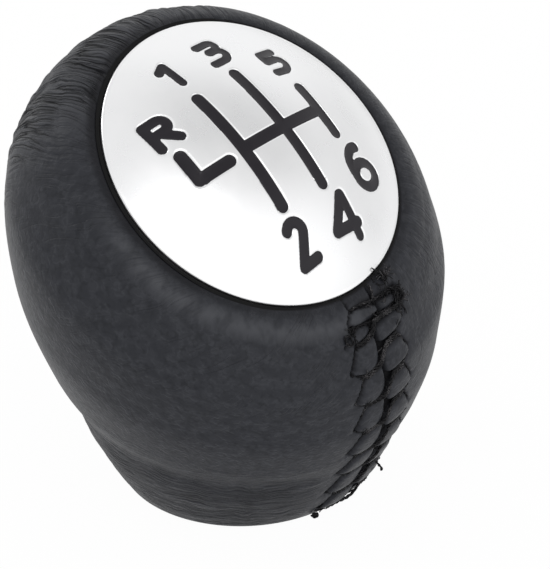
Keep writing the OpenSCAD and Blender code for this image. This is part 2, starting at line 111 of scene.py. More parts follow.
# %% Node helpers
class Value:
    """An output of a node; value[key] is another output of the same node."""

    def __init__(self, node, key=0):
        self.node, self.tree, self.socket = node, node.id_data, node.outputs[key]

    def __getitem__(self, key):
        return Value(self.node, key)

    def __add__(self, other):
        return calc("ADD", self, other)

    def __sub__(self, other):
        return calc("SUBTRACT", self, other)

    def __rsub__(self, other):
        return calc("SUBTRACT", other, self)

    def __mul__(self, other):
        return calc("MULTIPLY", self, other)

    def __truediv__(self, other):
        return calc("DIVIDE", self, other)

    def __rtruediv__(self, other):
        return calc("DIVIDE", other, self)


def fill(node, ins):
    """Gives a node's inputs, by name or number, their values or links."""
    for key, value in ins.items():
        if isinstance(value, Value):
            node.id_data.links.new(value.socket, node.inputs[key])
        else:
            node.inputs[key].default_value = value


def add(tree, kind, ins=None, **props):
    """Adds a node with its inputs and properties, and gives its first output."""
    node = tree.nodes.new(kind)
    for key, value in props.items():
        setattr(node, key, value)
    fill(node, ins or {})
    return Value(node)


def calc(operation, a, b=0.0, clamp=False):
    """A Math node on one or two values."""
    tree = (a if isinstance(a, Value) else b).tree
    return add(tree, "ShaderNodeMath", {0: a, 1: b}, operation=operation, use_clamp=clamp)


def blend_colours(factor, a, b):
    """A colour between a and b; each is a value or three numbers."""
    a, b = [c if isinstance(c, Value) else (*c, 1) for c in (a, b)]
    return add(factor.tree, "ShaderNodeMix", {0: factor, 6: a, 7: b}, data_type="RGBA")[2]


def remap(value, low, high, to_low, to_high, ease="LINEAR"):
    """Maps low..high to to_low..to_high, and stops at both ends."""
    ins = {0: value, 1: low, 2: high, 3: to_low, 4: to_high}
    return add(value.tree, "ShaderNodeMapRange", ins, interpolation_type=ease)


def soft_map(*values):
    """Like remap, but it eases in and out."""
    return remap(*values, ease="SMOOTHSTEP")


def noise(vector, scale, detail=2.0, rough=0.5):
    """A Noise texture's value, about 0.5 on average."""
    ins = {"Vector": vector, "Scale": scale, "Detail": detail, "Roughness": rough}
    return add(vector.tree, "ShaderNodeTexNoise", ins)


def vector_of(x, y, z=0.0):
    return add(x.tree, "ShaderNodeCombineXYZ", {0: x, 1: y, 2: z})


def bump(height, strength, distance):
    """A normal tilted by a height in units of distance."""
    return add(height.tree, "ShaderNodeBump", {"Strength": strength, "Distance": distance, "Height": height})


def new_group(name, tree_type, inputs, outputs):
    """A node group, its inputs and its output node. Sockets map a name to a kind or a number."""
    tree = bpy.data.node_groups.new(name, tree_type)
    for side, sockets in (("INPUT", inputs), ("OUTPUT", outputs)):
        for label, value in sockets.items():
            kind = value if isinstance(value, str) else "Int" if isinstance(value, int) else "Float"
            socket = tree.interface.new_socket(label, in_out=side, socket_type="NodeSocket" + kind)
            if kind != value:
                socket.default_value = value
    return tree, Value(tree.nodes.new("NodeGroupInput")), tree.nodes.new("NodeGroupOutput")


def new_material(name):
    """An empty node material, its tree and its Principled shader."""
    material = bpy.data.materials.new(name)
    material.use_nodes = True
    return material, material.node_tree, material.node_tree.nodes["Principled BSDF"]


def coordinates(tree, source="Object", scale=1 / MM):
    """Object coordinates in millimetres, or the piece's own map."""
    vector = add(tree, "ShaderNodeTexCoord")[source]
    return add(tree, "ShaderNodeMapping", {"Vector": vector, "Scale": (scale,) * 3})


# %% [markdown]
# ## Light and floor
# The photograph was taken in a white light tent: soft light from all round, a little stronger from
# above and behind the camera, and no background at all. The world is the tent. The floor and the
# world are white to the camera and to reflections, and the floor still takes the knob's shadow.

# %% Studio
TENT = 0.90
FLOOR_SIZE = 3.0
FLOOR_DROP = 0.02
FLOOR_WHITE = 0.92
FLOOR_GLOW = 0.97
WHITE = (1.0, 1.0, 1.0, 1.0)
# Panels of the tent: the direction they lie in, how wide they are (cosines), and what they add.
PANELS = [((0.10, -0.98, 0.15), 0.60, 0.95, 0.33), ((0.72, 0.43, 0.55), 0.82, 0.97, 0.12),
          ((0.45, -0.27, 0.87), 0.80, 1.0, -0.21), ((-0.45, -0.50, 0.75), 0.82, 0.98, 0.08),
          ((0.97, -0.25, 0.05), 0.85, 0.98, -0.07)]


def make_world():
    """A white tent with a few brighter and darker panels, plain white to the camera."""
    world = bpy.data.worlds.new("light_tent")
    world.use_nodes = True
    bpy.context.scene.world = world
    tree = world.node_tree
    direction = add(tree, "ShaderNodeTexCoord")["Generated"]
    tent = TENT
    for aim, wide, narrow, extra in PANELS:
        ins = {0: direction, 1: Vector(aim).normalized()}
        turned = add(tree, "ShaderNodeVectorMath", ins, operation="DOT_PRODUCT")["Value"]
        tent = soft_map(turned, wide, narrow, 0.0, extra) + tent
    seen = add(tree, "ShaderNodeLightPath")["Is Camera Ray"]
    strength = add(tree, "ShaderNodeMix", {0: seen, 2: tent, 3: 1.0}, data_type="FLOAT")
    fill(tree.nodes["Background"], {"Strength": strength, "Color": WHITE})


def make_floor():
    """A white floor that shows a faint shadow, and glows for camera, mirror and glass rays."""
    half = FLOOR_SIZE / MM / 2
    corners = [(-half, -half), (half, -half), (half, half), (-half, half)]
    floor = mesh_piece("floor", [(x, y, -FLOOR_DROP) for x, y in corners], [], [(0, 1, 2, 3)])
    material, tree, shader = new_material("white_paper")
    paper = remap(noise(coordinates(tree), 0.4), 0.3, 0.7, FLOOR_WHITE - 0.01, FLOOR_WHITE)
    fill(shader, {"Base Color": add(tree, "ShaderNodeCombineColor", {0: paper, 1: paper, 2: paper}),
                  "Roughness": 0.9, "Specular IOR Level": 0.0})
    path = add(tree, "ShaderNodeLightPath")
    seen = calc("ADD", path["Is Camera Ray"] + path["Is Glossy Ray"], path["Is Transmission Ray"], clamp=True)
    glow = add(tree, "ShaderNodeEmission", {"Color": WHITE, "Strength": 1.0})
    mixed = add(tree, "ShaderNodeMixShader", {0: seen * FLOOR_GLOW, 1: Value(shader), 2: glow})
    fill(tree.nodes["Material Output"], {"Surface": mixed})
    floor.data.materials.append(material)


def soft_box(name, place, size, radiance):
    """A square lamp of a given brightness that faces the knob."""
    lamp = bpy.data.lights.new(name, "AREA")
    lamp.size = size
    lamp.energy = radiance * math.pi * size * size
    holder = put_in_scene(name, lamp)
    holder.location = place
    holder.rotation_euler = (AIM - Vector(place)).to_track_quat("-Z", "Y").to_euler()


make_world()
make_floor()
soft_box("rear_box", (-0.26, -0.58, 0.80), 0.40, 2.0)
soft_box("far_box", (-0.12, 0.80, 0.60), 0.45, 2.2)

# %% [markdown]
# ## The form of the head
# The leather follows a loft: rings of changing radius along a centre line that rises up the lever
# and bends back to the badge. The same rule gives any point on the leather from two numbers, how
# far up the form it lies and its angle from the laced seam, so every stitch can be set on it.

# %% Loft of the head
BADGE_TILT = 37.5
BADGE_BACK = 3.0
BADGE_H = 44.0
BADGE_D = 39.0
DOME_RISE = 5.8
FOOT_Z = 0.6
FOOT_D = 31.2
LEATHER_T = 1.3
BEZEL_OR = BADGE_D / 2 + 0.6
TUCK_IR = BEZEL_OR + 0.1
TUCK_OR = TUCK_IR + LEATHER_T
TUCK_DEPTH = 4.0
LIP_Z = -2.7
LIP_R = TUCK_OR + 0.5
CROWN = 0.985
START_PULL = 14.0
END_PULL = 15.0
BEND_POWER = 1.1
# How far up the centre line each ring lies, and its radius.
STATIONS = [(0, FOOT_D / 2), (0.05, 17.0), (0.2, 20.0), (0.36, 23.6), (0.55, 26.6), (0.75, 27.8),
            (0.87, BEZEL_OR + 6.1), (0.945, BEZEL_OR + 3.9), (CROWN, TUCK_IR)]
PLACES, RADII = np.array(STATIONS).T
TILT = math.radians(BADGE_TILT)
BADGE_DIR = np.array([-math.sin(TILT), math.cos(TILT)])
P0 = np.array([0, FOOT_Z])
P1 = P0 + START_PULL * np.array([0, 1])
P3 = np.array([-BADGE_BACK, BADGE_H])
P2 = P3 - END_PULL * BADGE_DIR


def bezier(t, a, b, c, d):
    """A cubic curve from a to d that is drawn towards b and c."""
    return (1 - t) ** 3 * a + 3 * (1 - t) ** 2 * t * b + 3 * (1 - t) * t ** 2 * c + t ** 3 * d


def centre_speed(s):
    """How fast the centre line runs at share s, in mm for a full share."""
    s = np.asarray(s, float)[..., None]
    step = 3 * (1 - s) ** 2 * (P1 - P0) + 6 * (1 - s) * s * (P2 - P1) + 3 * s ** 2 * (P3 - P2)
    return np.linalg.norm(step, axis=-1)


def station_slopes():
    """Slopes at the stations that never overshoot."""
    rise = np.diff(RADII) / np.diff(PLACES)
    product = rise[:-1] * rise[1:]
    inner = np.where(product > 0, 2 * product / (rise[:-1] + rise[1:] + 1e-12), 0)
    return np.concatenate([rise[:1], inner, rise[-1:]])


SLOPES = station_slopes()


def radius(s):
    """The ring's radius at share s."""
    i = np.clip(np.searchsorted(PLACES, s, side="right") - 1, 0, len(PLACES) - 2)
    w = PLACES[i + 1] - PLACES[i]
    u = (s - PLACES[i]) / w
    return ((2 * u ** 3 - 3 * u ** 2 + 1) * RADII[i] + (u ** 3 - 2 * u ** 2 + u) * w * SLOPES[i]
            + (3 * u ** 2 - 2 * u ** 3) * RADII[i + 1] + (u ** 3 - u ** 2) * w * SLOPES[i + 1])


def profile_angle(s):
    """How much the skin opens outwards at share s."""
    a, b = np.clip(s - 0.004, 0, CROWN), np.clip(s + 0.004, 0, CROWN)
    return np.arctan2(radius(b) - radius(a), (b - a) * centre_speed(s))


def on_ring(y, z, lean, r, angle):
    """Points (x, y, z) on a tilted ring; the angle starts at the seam, behind."""
    y, z, lean, r, angle = np.broadcast_arrays(y, z, lean, r, angle)
    back = r * np.cos(angle)
    return np.stack([r * np.sin(angle), y - back * np.cos(lean), z - back * np.sin(lean)], axis=-1)


def on_skin(s, angle, out=0.0):
    """Points on the leather, raised by out mm along its normal."""
    s, angle, out = np.broadcast_arrays(np.asarray(s, float), angle, out)
    middle = bezier(s[..., None], P0, P1, P2, P3)
    lean = TILT * s ** BEND_POWER
    a = profile_angle(s)
    shift = -out * np.sin(a)
    return on_ring(middle[..., 0] - shift * np.sin(lean), middle[..., 1] + shift * np.cos(lean), lean,
                   radius(s) + out * np.cos(a), angle)


def run_of(points):
    """Distance along a row of points."""
    return np.append(0, np.cumsum(np.linalg.norm(np.diff(points, axis=0), axis=1)))


SHARES = np.linspace(0, CROWN, 1200)
SEAM_ARC, FRONT_ARC = [run_of(on_skin(SHARES, turn)) for turn in (0.0, math.pi)]
MEAN_ARC = (SEAM_ARC + FRONT_ARC) / 2
print("leather, foot to badge:", round(SEAM_ARC[-1], 1), "mm behind,", round(FRONT_ARC[-1], 1), "mm in front")

# %% [markdown]
# ## The pattern of the seam
# The cover's two edges meet in a valley up the back. Thread crosses from one side to the other on a
# slant, and between two crossings the leather swells into a pair of small pads. The pads' outer
# edges are stitched down along a saw-tooth line. One function gives the height of all that, in
# millimetres above the plain form, and the threads later follow the same lines.

# %% Seam pattern
SEAM_LENGTH = SEAM_ARC[-1]
SLANTED = 8
CROSSINGS = np.append(np.linspace(2.2, SEAM_LENGTH - 3.9, SLANTED), SEAM_LENGTH - 2.2)
GAPS = np.diff(CROSSINGS)
LEFT_SLOPE = 0.22
RIGHT_SLOPE = 0.07
LACE_STEP = 0.9
PUFF = 0.42
SINK = 0.3
PULL = 0.12
VALLEY = 0.5
LEFT_EDGE = 3.1
LEFT_DRAW = 1.1
RIGHT_EDGE = 3.8
RIGHT_FLARE = 2.4
TOOTH = 1.65
TOOTH_PEAK = 0.28
VARY = np.random.default_rng(3).uniform(0.82, 1.12, (2, SLANTED + 2))


def bell(distance, width):
    return np.exp(-(distance / width) ** 2)


def smooth_step(value, low, high):
    t = np.clip((value - low) / (high - low), 0, 1)
    return t * t * (3 - 2 * t)


def near_badge(arc, first, last):
    """Rises from 0 at first mm before the badge to 1 at last mm before it."""
    return smooth_step(arc, SEAM_LENGTH - first, SEAM_LENGTH - last)


def right_edge(arc):
    """Sideways place of the right-hand row of holes, which flares out beside the badge."""
    return RIGHT_EDGE + RIGHT_FLARE * near_badge(arc, 5.8, 3.8)


def lower_line(x):
    """Where the lower of the two level stitch lines beside the badge lies."""
    return SEAM_LENGTH - 3.6 - 0.07 * x


def upper_line(x):
    """Where the upper of them lies."""
    return SEAM_LENGTH - 1.6 - 0.15 * np.clip(x - 0.5, 0, None)


def climb(arc, x):
    """How far a crossing has climbed at x: gently on both sides, steeply where it passes the valley."""
    near = np.clip(x, -5.6, 6.0)
    rising = np.where(near < 0, LEFT_SLOPE, RIGHT_SLOPE) * near + LACE_STEP * np.tanh((near - 0.15) / 0.6)
    return smooth_step(arc, 0.0, 3.0) * rising


def cell_of(arc, x):
    """Which cell a point lies in, as a number, and how far up that cell."""
    level = arc - climb(arc, x)
    steps = np.interp(level, CROSSINGS, np.arange(len(CROSSINGS)))
    below = (level - CROSSINGS[0]) / GAPS[0]
    above = len(CROSSINGS) - 1 + (level - CROSSINGS[-1]) / GAPS[-1]
    steps = np.where(level < CROSSINGS[0], below, np.where(level > CROSSINGS[-1], above, steps))
    cell = np.floor(steps)
    return cell, steps - cell


def pad_edge(side, phase, arc):
    """Distance of the saw-tooth line from x = 0: it swings out above each crossing and back in."""
    swing = np.where(phase < TOOTH_PEAK, phase / TOOTH_PEAK, (1 - phase) / (1 - TOOTH_PEAK))
    tooth = TOOTH * (1 - near_badge(arc, 4.6, 3.4)) * swing
    left = LEFT_EDGE - LEFT_DRAW * near_badge(arc, 3.0, 1.4)
    uneven = 0.07 * np.sin(7.3 * arc + 1.7 * side) + 0.05 * np.sin(17.1 * arc)
    return np.where(side < 0, left, right_edge(arc)) + tooth + uneven


def pad_room(arc, x, cell, phase):
    """Distances to the stitch line below and above a point."""
    pitch = GAPS[np.clip(cell, 0, len(GAPS) - 1).astype(int)]
    lower = lower_line(x)
    closing = arc > lower
    below = np.where(closing, arc - lower, phase * pitch)
    above = np.where(closing, upper_line(x) - arc, np.minimum((1 - phase) * pitch, lower - arc))
    return below, above, closing


def seam_profile(arc, x):
    """Height of the laced seam over the plain form in mm, and how much painted shade a point gets in the
    stitch lines, the pad corners and the valley.
    """
    aside = np.abs(x)
    cell, phase = cell_of(arc, x)
    below, above, closing = pad_room(arc, x, cell, phase)
    edge = pad_edge(x, phase, arc)
    middle = 0.2 + 2.0 * near_badge(arc, 4.6, 3.0)
    half = np.where(x > middle, edge - middle, edge + middle)
    side_share = np.abs(2 * np.clip((np.abs(x - middle) - 0.12) / (half - 0.12), 0, 1) - 1)
    bar = 0.10 + 0.30 * smooth_step(x, -1.8, 0.6)
    free_below, free_above = np.clip(below - bar, 0, None), np.clip(above - bar, 0, None)
    up_share = np.abs(2 * free_below / (free_below + free_above + 1e-6) - 1)
    up_share = np.where((free_below > 0) & (free_above > 0), up_share, 1.0)
    pad = np.sqrt(np.clip(1 - side_share ** 3 - up_share ** 3, 0, 1))
    inside = np.clip((edge - aside) / 0.25, 0, 1)
    laced = (cell >= 0) | closing
    tab = closing & (above < 0)
    vary = VARY[(x > middle).astype(int), np.clip(cell, 0, SLANTED + 1).astype(int)]
    size = np.clip((below + np.abs(above)) / 3.0, 0.4, 1) * vary
    between = inside * (1 - smooth_step(pad, 0.0, 0.45)) * ~tab
    line = bell(np.minimum(below, np.abs(above)), bar + 0.1) * np.clip((edge + 0.3 - aside) / 0.3, 0, 1)
    edge_line = bell(aside - edge, 0.2) * np.where(tab & (x > 0), 0.3, 1.0)
    valley = bell(x - middle, 0.30)
    pulled = bell(aside - edge - 0.3, 0.7) * bell(phase - TOOTH_PEAK, 0.2) * ~closing
    ends = np.clip(np.minimum(arc / 0.8, (SEAM_LENGTH - arc) / 0.8), 0, 1)
    # Where the leather sinks between the pads and along the stitch lines; the second value returned is
    # painted shade there and in the valley.
    deep = np.maximum(np.maximum(between, line), edge_line)
    height = laced * (PUFF * size * pad * inside - SINK * deep - PULL * pulled) - VALLEY * valley
    return ends * height, ends * np.maximum(laced * deep, valley)


# %% [markdown]
# ## The leather cover
# A cover that follows a rule is best built from that rule: rows of points from the foot up to the
# badge, tucked in beside it, and back down the inside to the hem. The columns stand close together
# at the seam. The mesh also carries weights: for the gathered crown and the stretched neck, which
# crease in their own ways, for the polished roll and its painted sheen, and for the band of painted
# shade beside the badge.

# %% Leather mesh
NEAR_REACH = 8.1
NEAR_STEP = 0.18
FAR_COLUMNS = 390
OUTER_ROWS = 160
MOUTH_ROWS = 21
HIDE_RADIUS = 26.0
MAP_SIZE = 200.0
SWELL = 0.12
STRIP = 9.5
MOUTH_START = 0.948
# Bearings, in degrees round from the seam, where the badge's gap, the gathers and the polished roll with its
# painted sheen lie.
GAP_MIDDLE = 246
GATHER_MIDDLE = 190
SHEEN_MIDDLE = 312
# Rows of the tuck beside the badge and of the hem, as radius and height, and shares of the inside.
TUCK = [(TUCK_IR, -0.8), (TUCK_IR, -TUCK_DEPTH), (TUCK_OR, -TUCK_DEPTH), (TUCK_OR, LIP_Z), (LIP_R, LIP_Z)]
HEM = [(FOOT_D / 2 - LEATHER_T, 2.3), (12.0, 2.3), (12.0, 1.0), (13.5, 1.0), (14.4, 0.55),
       (FOOT_D / 2 - 0.5, 0.3)]
INSIDE_SHARES = (0.925, 0.87, 0.8, 0.72, 0.62, 0.52, 0.42, 0.32, 0.22, 0.13, 0.06)
near = np.arange(0, NEAR_REACH + NEAR_STEP / 2, NEAR_STEP)


def column_angles(r):
    """Angles of all columns on a ring of radius r, or on a column of such rings."""
    edge = NEAR_REACH / r
    far = edge + (2 * math.pi - 2 * edge) * np.arange(1, FAR_COLUMNS + 1) / (FAR_COLUMNS + 1)
    return np.concatenate([near / r, far, 2 * math.pi - near[:0:-1] / r], axis=-1)


def badge_ring(r, z, angles):
    """Points on a ring round the badge, at height z in the badge's own frame; r and z may vary."""
    middle = P3 + np.asarray(z, float)[..., None] * BADGE_DIR
    return on_ring(middle[..., 0], middle[..., 1], TILT, r, angles)


def in_badge_frame(points):
    """Radius and height of points in the badge's frame."""
    y, z = points[:, 1] - P3[0], points[:, 2] - P3[1]
    back = y * math.cos(TILT) + z * math.sin(TILT)
    return np.hypot(points[:, 0], back), y * BADGE_DIR[0] + z * BADGE_DIR[1]


def seam_side(angles):
    """Signed angle from the seam."""
    return np.where(angles < math.pi, angles, angles - 2 * math.pi)


def turned_from(angles, degrees):
    """How far round the ring a point lies from a bearing, in radians."""
    return np.abs(np.angle(np.exp(1j * (angles - math.radians(degrees)))))


def neck_relief(s, angles):
    """The hide is pinched in at the neck and rolls out again below it, mostly on the left."""
    left = 0.35 + 0.65 * (0.5 - 0.5 * np.sin(angles))
    return left * (0.22 * bell(s - 0.165, 0.06) - 0.34 * bell(s - 0.262, 0.04)) * smooth_step(s, 0.0, 0.05)


def outer_rows(s):
    """Rings of the outer skin at a column of shares: points with the seam's relief, shade, angles."""
    angles = column_angles(radius(s))
    x = seam_side(angles) * radius(s)
    relief, shade = seam_profile(np.interp(s, SHARES, SEAM_ARC) + 0 * x, x)
    strip = np.abs(x) < STRIP
    plain = SWELL + neck_relief(s, angles) * smooth_step(np.abs(x), 5.0, STRIP)
    return on_skin(s, angles, strip * relief + plain), strip * shade, angles


def gap_open(angles):
    """1 where the leather stands back from the badge, at the left, and 0 where it touches the metal."""
    turned = turned_from(angles, GAP_MIDDLE)
    return 1 - smooth_step(turned, 0.75, 1.25) * (0.78 + 0.22 * smooth_step(turned, 1.3, 1.7))


def mouth_curve(angles):
    """The rolled lip beside the badge, row by row: it rises a little and turns down over the bezel."""
    r0, z0 = in_badge_frame(on_skin(MOUTH_START, angles, SWELL))
    r1, z1 = in_badge_frame(on_skin(MOUTH_START - 0.004, angles, SWELL))
    length = np.hypot(r0 - r1, z0 - z1)
    dr, dz = (r0 - r1) / length, (z0 - z1) / length
    open_share = gap_open(angles)
    end_r = BEZEL_OR - 0.36 + 0.15 * open_share
    end_z = -0.32 - 0.10 * open_share
    t = (1 - (1 - np.linspace(0, 1, MOUTH_ROWS + 1)) ** 1.2)[:, None]
    r = bezier(t, r0, r0 + 1.5 * dr, end_r + 1.35, end_r)
    return r, bezier(t, z0, z0 + 1.5 * dz + 0.3, end_z + 0.24, end_z), t


def curve_normals(r, z):
    """Outward normals of the lip's rows, as steps in radius and height."""
    tr, tz = np.gradient(r, axis=0), np.gradient(z, axis=0)
    size = np.hypot(tr, tz) + 1e-9
    return tz / size, -tr / size


def mouth_arcs(r, z):
    """Distance up the seam of every row of the lip, which ends at the seam's full length."""
    run = run_of(np.stack([r[:, 0], z[:, 0]], axis=-1))
    first = float(np.interp(MOUTH_START, SHARES, SEAM_ARC))
    return first + (SEAM_LENGTH - first) * run / run[-1]


def mouth_rows():
    """The lip's rows, like outer_rows."""
    angles = column_angles(float(radius(MOUTH_START)))
    r, z, t = mouth_curve(angles)
    out_r, out_z = curve_normals(r, z)
    x = seam_side(angles) * r
    relief, shade = seam_profile(mouth_arcs(r, z)[:, None] + 0 * x, x)
    fade = (np.abs(x) < STRIP) * (1 - smooth_step(t, 0.86, 1.0))
    points = badge_ring(r + out_r * relief * fade, z + out_z * relief * fade, angles)
    return points[1:], (shade * fade)[1:], (angles + 0 * x)[1:]


def near_seam(arc, x, out=0.0):
    """Points over the leather beside the seam, on the lip too; x is the sideways distance in mm."""
    arc, x, out = np.broadcast_arrays(np.asarray(arc, float), np.asarray(x, float), out)
    r, z, _ = mouth_curve(np.zeros(1))
    arcs = mouth_arcs(r, z)
    lip_r, lip_z, out_r, out_z = [np.interp(arc, arcs, rows[:, 0]) for rows in (r, z, *curve_normals(r, z))]
    lip = badge_ring(lip_r + out_r * (out - SWELL), lip_z + out_z * (out - SWELL), x / lip_r)
    s = np.interp(arc, SEAM_ARC, SHARES)
    return np.where((arc > arcs[0])[..., None], lip, on_skin(s, x / radius(s), out))


def cover_rows():
    """The cover's rings from the foot up the outside, with their shares, shade and angles."""
    last = float(np.interp(MOUTH_START, SHARES, MEAN_ARC))
    shares = np.interp(np.linspace(0, last, OUTER_ROWS), MEAN_ARC, SHARES)[:, None]
    rows = [np.concatenate(parts) for parts in zip(outer_rows(shares), mouth_rows())]
    return np.append(shares, np.linspace(MOUTH_START, CROWN, MOUTH_ROWS + 1)[1:])[:, None], *rows


def inside_rows(angles):
    """The rings that lead on down the tuck, the inside and the hem."""
    rows = [badge_ring(r, z, angles) for r, z in TUCK]
    rows += [on_skin(s, column_angles(float(radius(s)) - LEATHER_T), -LEATHER_T) for s in INSIDE_SHARES]
    return np.array(rows + [on_ring(0.0, z, 0.0, r, column_angles(r)) for r, z in HEM])


def ring_skin(name, grid):
    """A closed skin through rows of points: every row is a ring, and the last joins the first."""
    count, columns = grid.shape[:2]
    i, j = np.arange(count)[:, None], np.arange(columns)
    k, m = (i + 1) % count, (j + 1) % columns
    quads = np.stack([i * columns + j, i * columns + m, k * columns + m, k * columns + j], axis=-1)
    return mesh_piece(name, grid.reshape(-1, 3), [], quads.reshape(-1, 4).tolist())


def give_weights(mesh, s, shade, angles):
    """Stores where each point lies on the hide, how strongly each kind of crease shows there, and where
    painted sheen and painted shade go.
    """
    off_strip = smooth_step(np.abs(seam_side(angles)) * radius(s), 5.5, 8.0)
    gathered = 1 - smooth_step(turned_from(angles, GATHER_MIDDLE), 0.52, 0.85)
    # Where round the ring the polished roll lies; it is less rough there and also gets a painted sheen.
    sheen_zone = 1 - smooth_step(turned_from(angles, SHEEN_MIDDLE), 0.55, 1.1)
    crown = smooth_step(s, 0.62, 0.84) * (1 - smooth_step(s, 0.968, 0.985))
    # Painted shade: a band of the lip beside the badge, deeper where the gap opens, and fully dark at the
    # lip's edge.
    shade_band = smooth_step(s, 0.968, 0.976) * (0.35 + 0.4 * gap_open(angles))
    layers = {"along": np.interp(s, SHARES, MEAN_ARC) + 0 * angles,
              "around": angles * HIDE_RADIUS,
              "crown": crown * off_strip * (0.06 + 0.94 * gathered),
              "neck": (1 - smooth_step(s, 0.16, 0.42)) * smooth_step(s, 0.0, 0.02) * off_strip,
              "polish_and_sheen": bell(s - 0.958, 0.009) * sheen_zone,
              "painted_shade_band": np.maximum(shade_band, smooth_step(s, 0.979, 0.982)),
              "stitched": shade}
    for name, values in layers.items():
        whole = np.zeros(len(mesh.vertices), np.float32)
        whole[:values.size] = values.ravel()
        mesh.attributes.new(name, "FLOAT", "POINT").data.foreach_set("value", whole)


def read(items, name, kind):
    """One property of all items as an array."""
    values = np.zeros(len(items), kind)
    items.foreach_get(name, values)
    return values


def give_map(mesh):
    """A map in millimetres, unbroken except at the seam."""
    along, around = [read(mesh.attributes[name].data, "value", np.float32) for name in ("along", "around")]
    corners = read(mesh.loops, "vertex_index", np.int32)
    u = around[corners].reshape(-1, 4)
    wrapped = np.ptp(u, axis=1) > MAP_SIZE / 4
    u[wrapped] = np.where(u[wrapped] < MAP_SIZE / 4, u[wrapped] + HIDE_RADIUS * 2 * math.pi, u[wrapped])
    uv = np.stack([u.ravel(), along[corners]], axis=-1) / MAP_SIZE
    mesh.uv_layers.new(name="hide").data.foreach_set("uv", uv.astype(np.float32).ravel())


shares, outside, shade, angles = cover_rows()
leather = ring_skin("leather_wrap", np.concatenate([outside, inside_rows(angles[-1])]))
give_weights(leather.data, shares, shade, angles)
give_map(leather.data)
print("leather quads:", len(leather.data.polygons))

# %% [markdown]
# ## Creases in the hide
# Leather that is pulled over a ball gathers where the ball closes: small folds run towards the
# badge. Round the neck it is stretched the other way, and fine lines run level. A geometry node
# tree moves the points in along their normals by stretched noise, and stores how deep each crease
# is, so that the finish can paint shade into it. All sizes are inputs of the tree.


# %% Crease tree
LEAN = 0.9
LEAN_FROM = 84.0
LEAN_TO = 103.0


def ridges(u, v, size_u, size_v, seed, sharp):
    """Thin branching lines: 1 on a line, falling to 0 beside it."""
    value = noise(vector_of(u / size_u, v / size_v, seed * 7.3), 1.0, 1.5, 0.45)
    return calc("SUBTRACT", 1.0, calc("ABSOLUTE", (value - 0.5) * sharp), clamp=True)


def leaning(around, along):
    """The place round the head, drawn sideways where the gathers lean over on the left shoulder."""
    return around - soft_map(around, LEAN_FROM, LEAN_TO, 0.0, LEAN) * (along - float(MEAN_ARC[-1]))


def end_tree(geometry, material, out):
    """Ends a geometry tree in Realize Instances and Set Material."""
    real = add(geometry.tree, "GeometryNodeRealizeInstances", {0: geometry})
    painted = add(real.tree, "GeometryNodeSetMaterial", {"Geometry": real, "Material": material})
    fill(out, {"Geometry": painted})


def make_crease_tree(material):
    """Presses folds into the cover, by the weights that its points carry."""
    inputs = {"Geometry": "Geometry", "Crown depth": 0.0, "Neck depth": 0.0, "Crown spacing": 1.2,
              "Neck spacing": 1.0, "Seed": 1.0}
    tree, given, out = new_group("hide_folds", "GeometryNodeTree", inputs, {"Geometry": "Geometry"})
    around, along, crown_weight, neck_weight = [
        add(tree, "GeometryNodeInputNamedAttribute", {"Name": name}, data_type="FLOAT")
        for name in ("around", "along", "crown", "neck")]
    seed = given["Seed"]
    place = vector_of(around, along, seed)
    wave = (noise(place, 0.12, 1.0) - 0.5) * 6.0
    swell = (noise(place, 0.10, 1.0) - 0.5) * 4.0
    patches = remap(noise(place, 0.1, 1.0), 0.38, 0.62, 0.25, 1.0)
    crown_lines = ridges(leaning(around, along) + wave, along, given["Crown spacing"], 9.0, seed, 5.0)
    neck_lines = ridges(around, along + swell, 14.0, given["Neck spacing"], seed, 4.0)
    crown = crown_lines * patches * crown_weight
    neck = neck_lines * neck_weight
    depth = crown * given["Crown depth"] + neck * given["Neck depth"]
    ins = {0: add(tree, "GeometryNodeInputNormal"), "Scale": depth * -MM}
    move = add(tree, "ShaderNodeVectorMath", ins, operation="SCALE")
    moved = add(tree, "GeometryNodeSetPosition", {"Geometry": given["Geometry"], "Offset": move})
    # How deep each fold lies, for the painted shade that the finish puts into it.
    ins = {"Geometry": moved, "Name": "crease", "Value": calc("MAXIMUM", crown, neck)}
    stored = add(tree, "GeometryNodeStoreNamedAttribute", ins, data_type="FLOAT", domain="POINT")
    end_tree(stored, material, out)
    return tree


def run_tree(piece, tree, values):
    """Runs a tree on a piece and keeps the result as a plain mesh."""
    modifier = piece.modifiers.new("shape", "NODES")
    modifier.node_group = tree
    sockets = {s.name: s.identifier for s in tree.interface.items_tree if s.in_out == "INPUT"}
    for name, value in values.items():
        modifier[sockets[name]] = value
    bpy.context.view_layer.update()
    shaped = piece.evaluated_get(bpy.context.evaluated_depsgraph_get())
    mesh = bpy.data.meshes.new_from_object(shaped)
    piece.modifiers.remove(modifier)
    piece.data = mesh
    return piece


def hand_over(piece, slot, *nodes):
    """Attaches a piece to the body and hides the solids that it stands for; its slot is not used."""
    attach(piece, BODY)
    if nodes:
        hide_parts(*nodes)
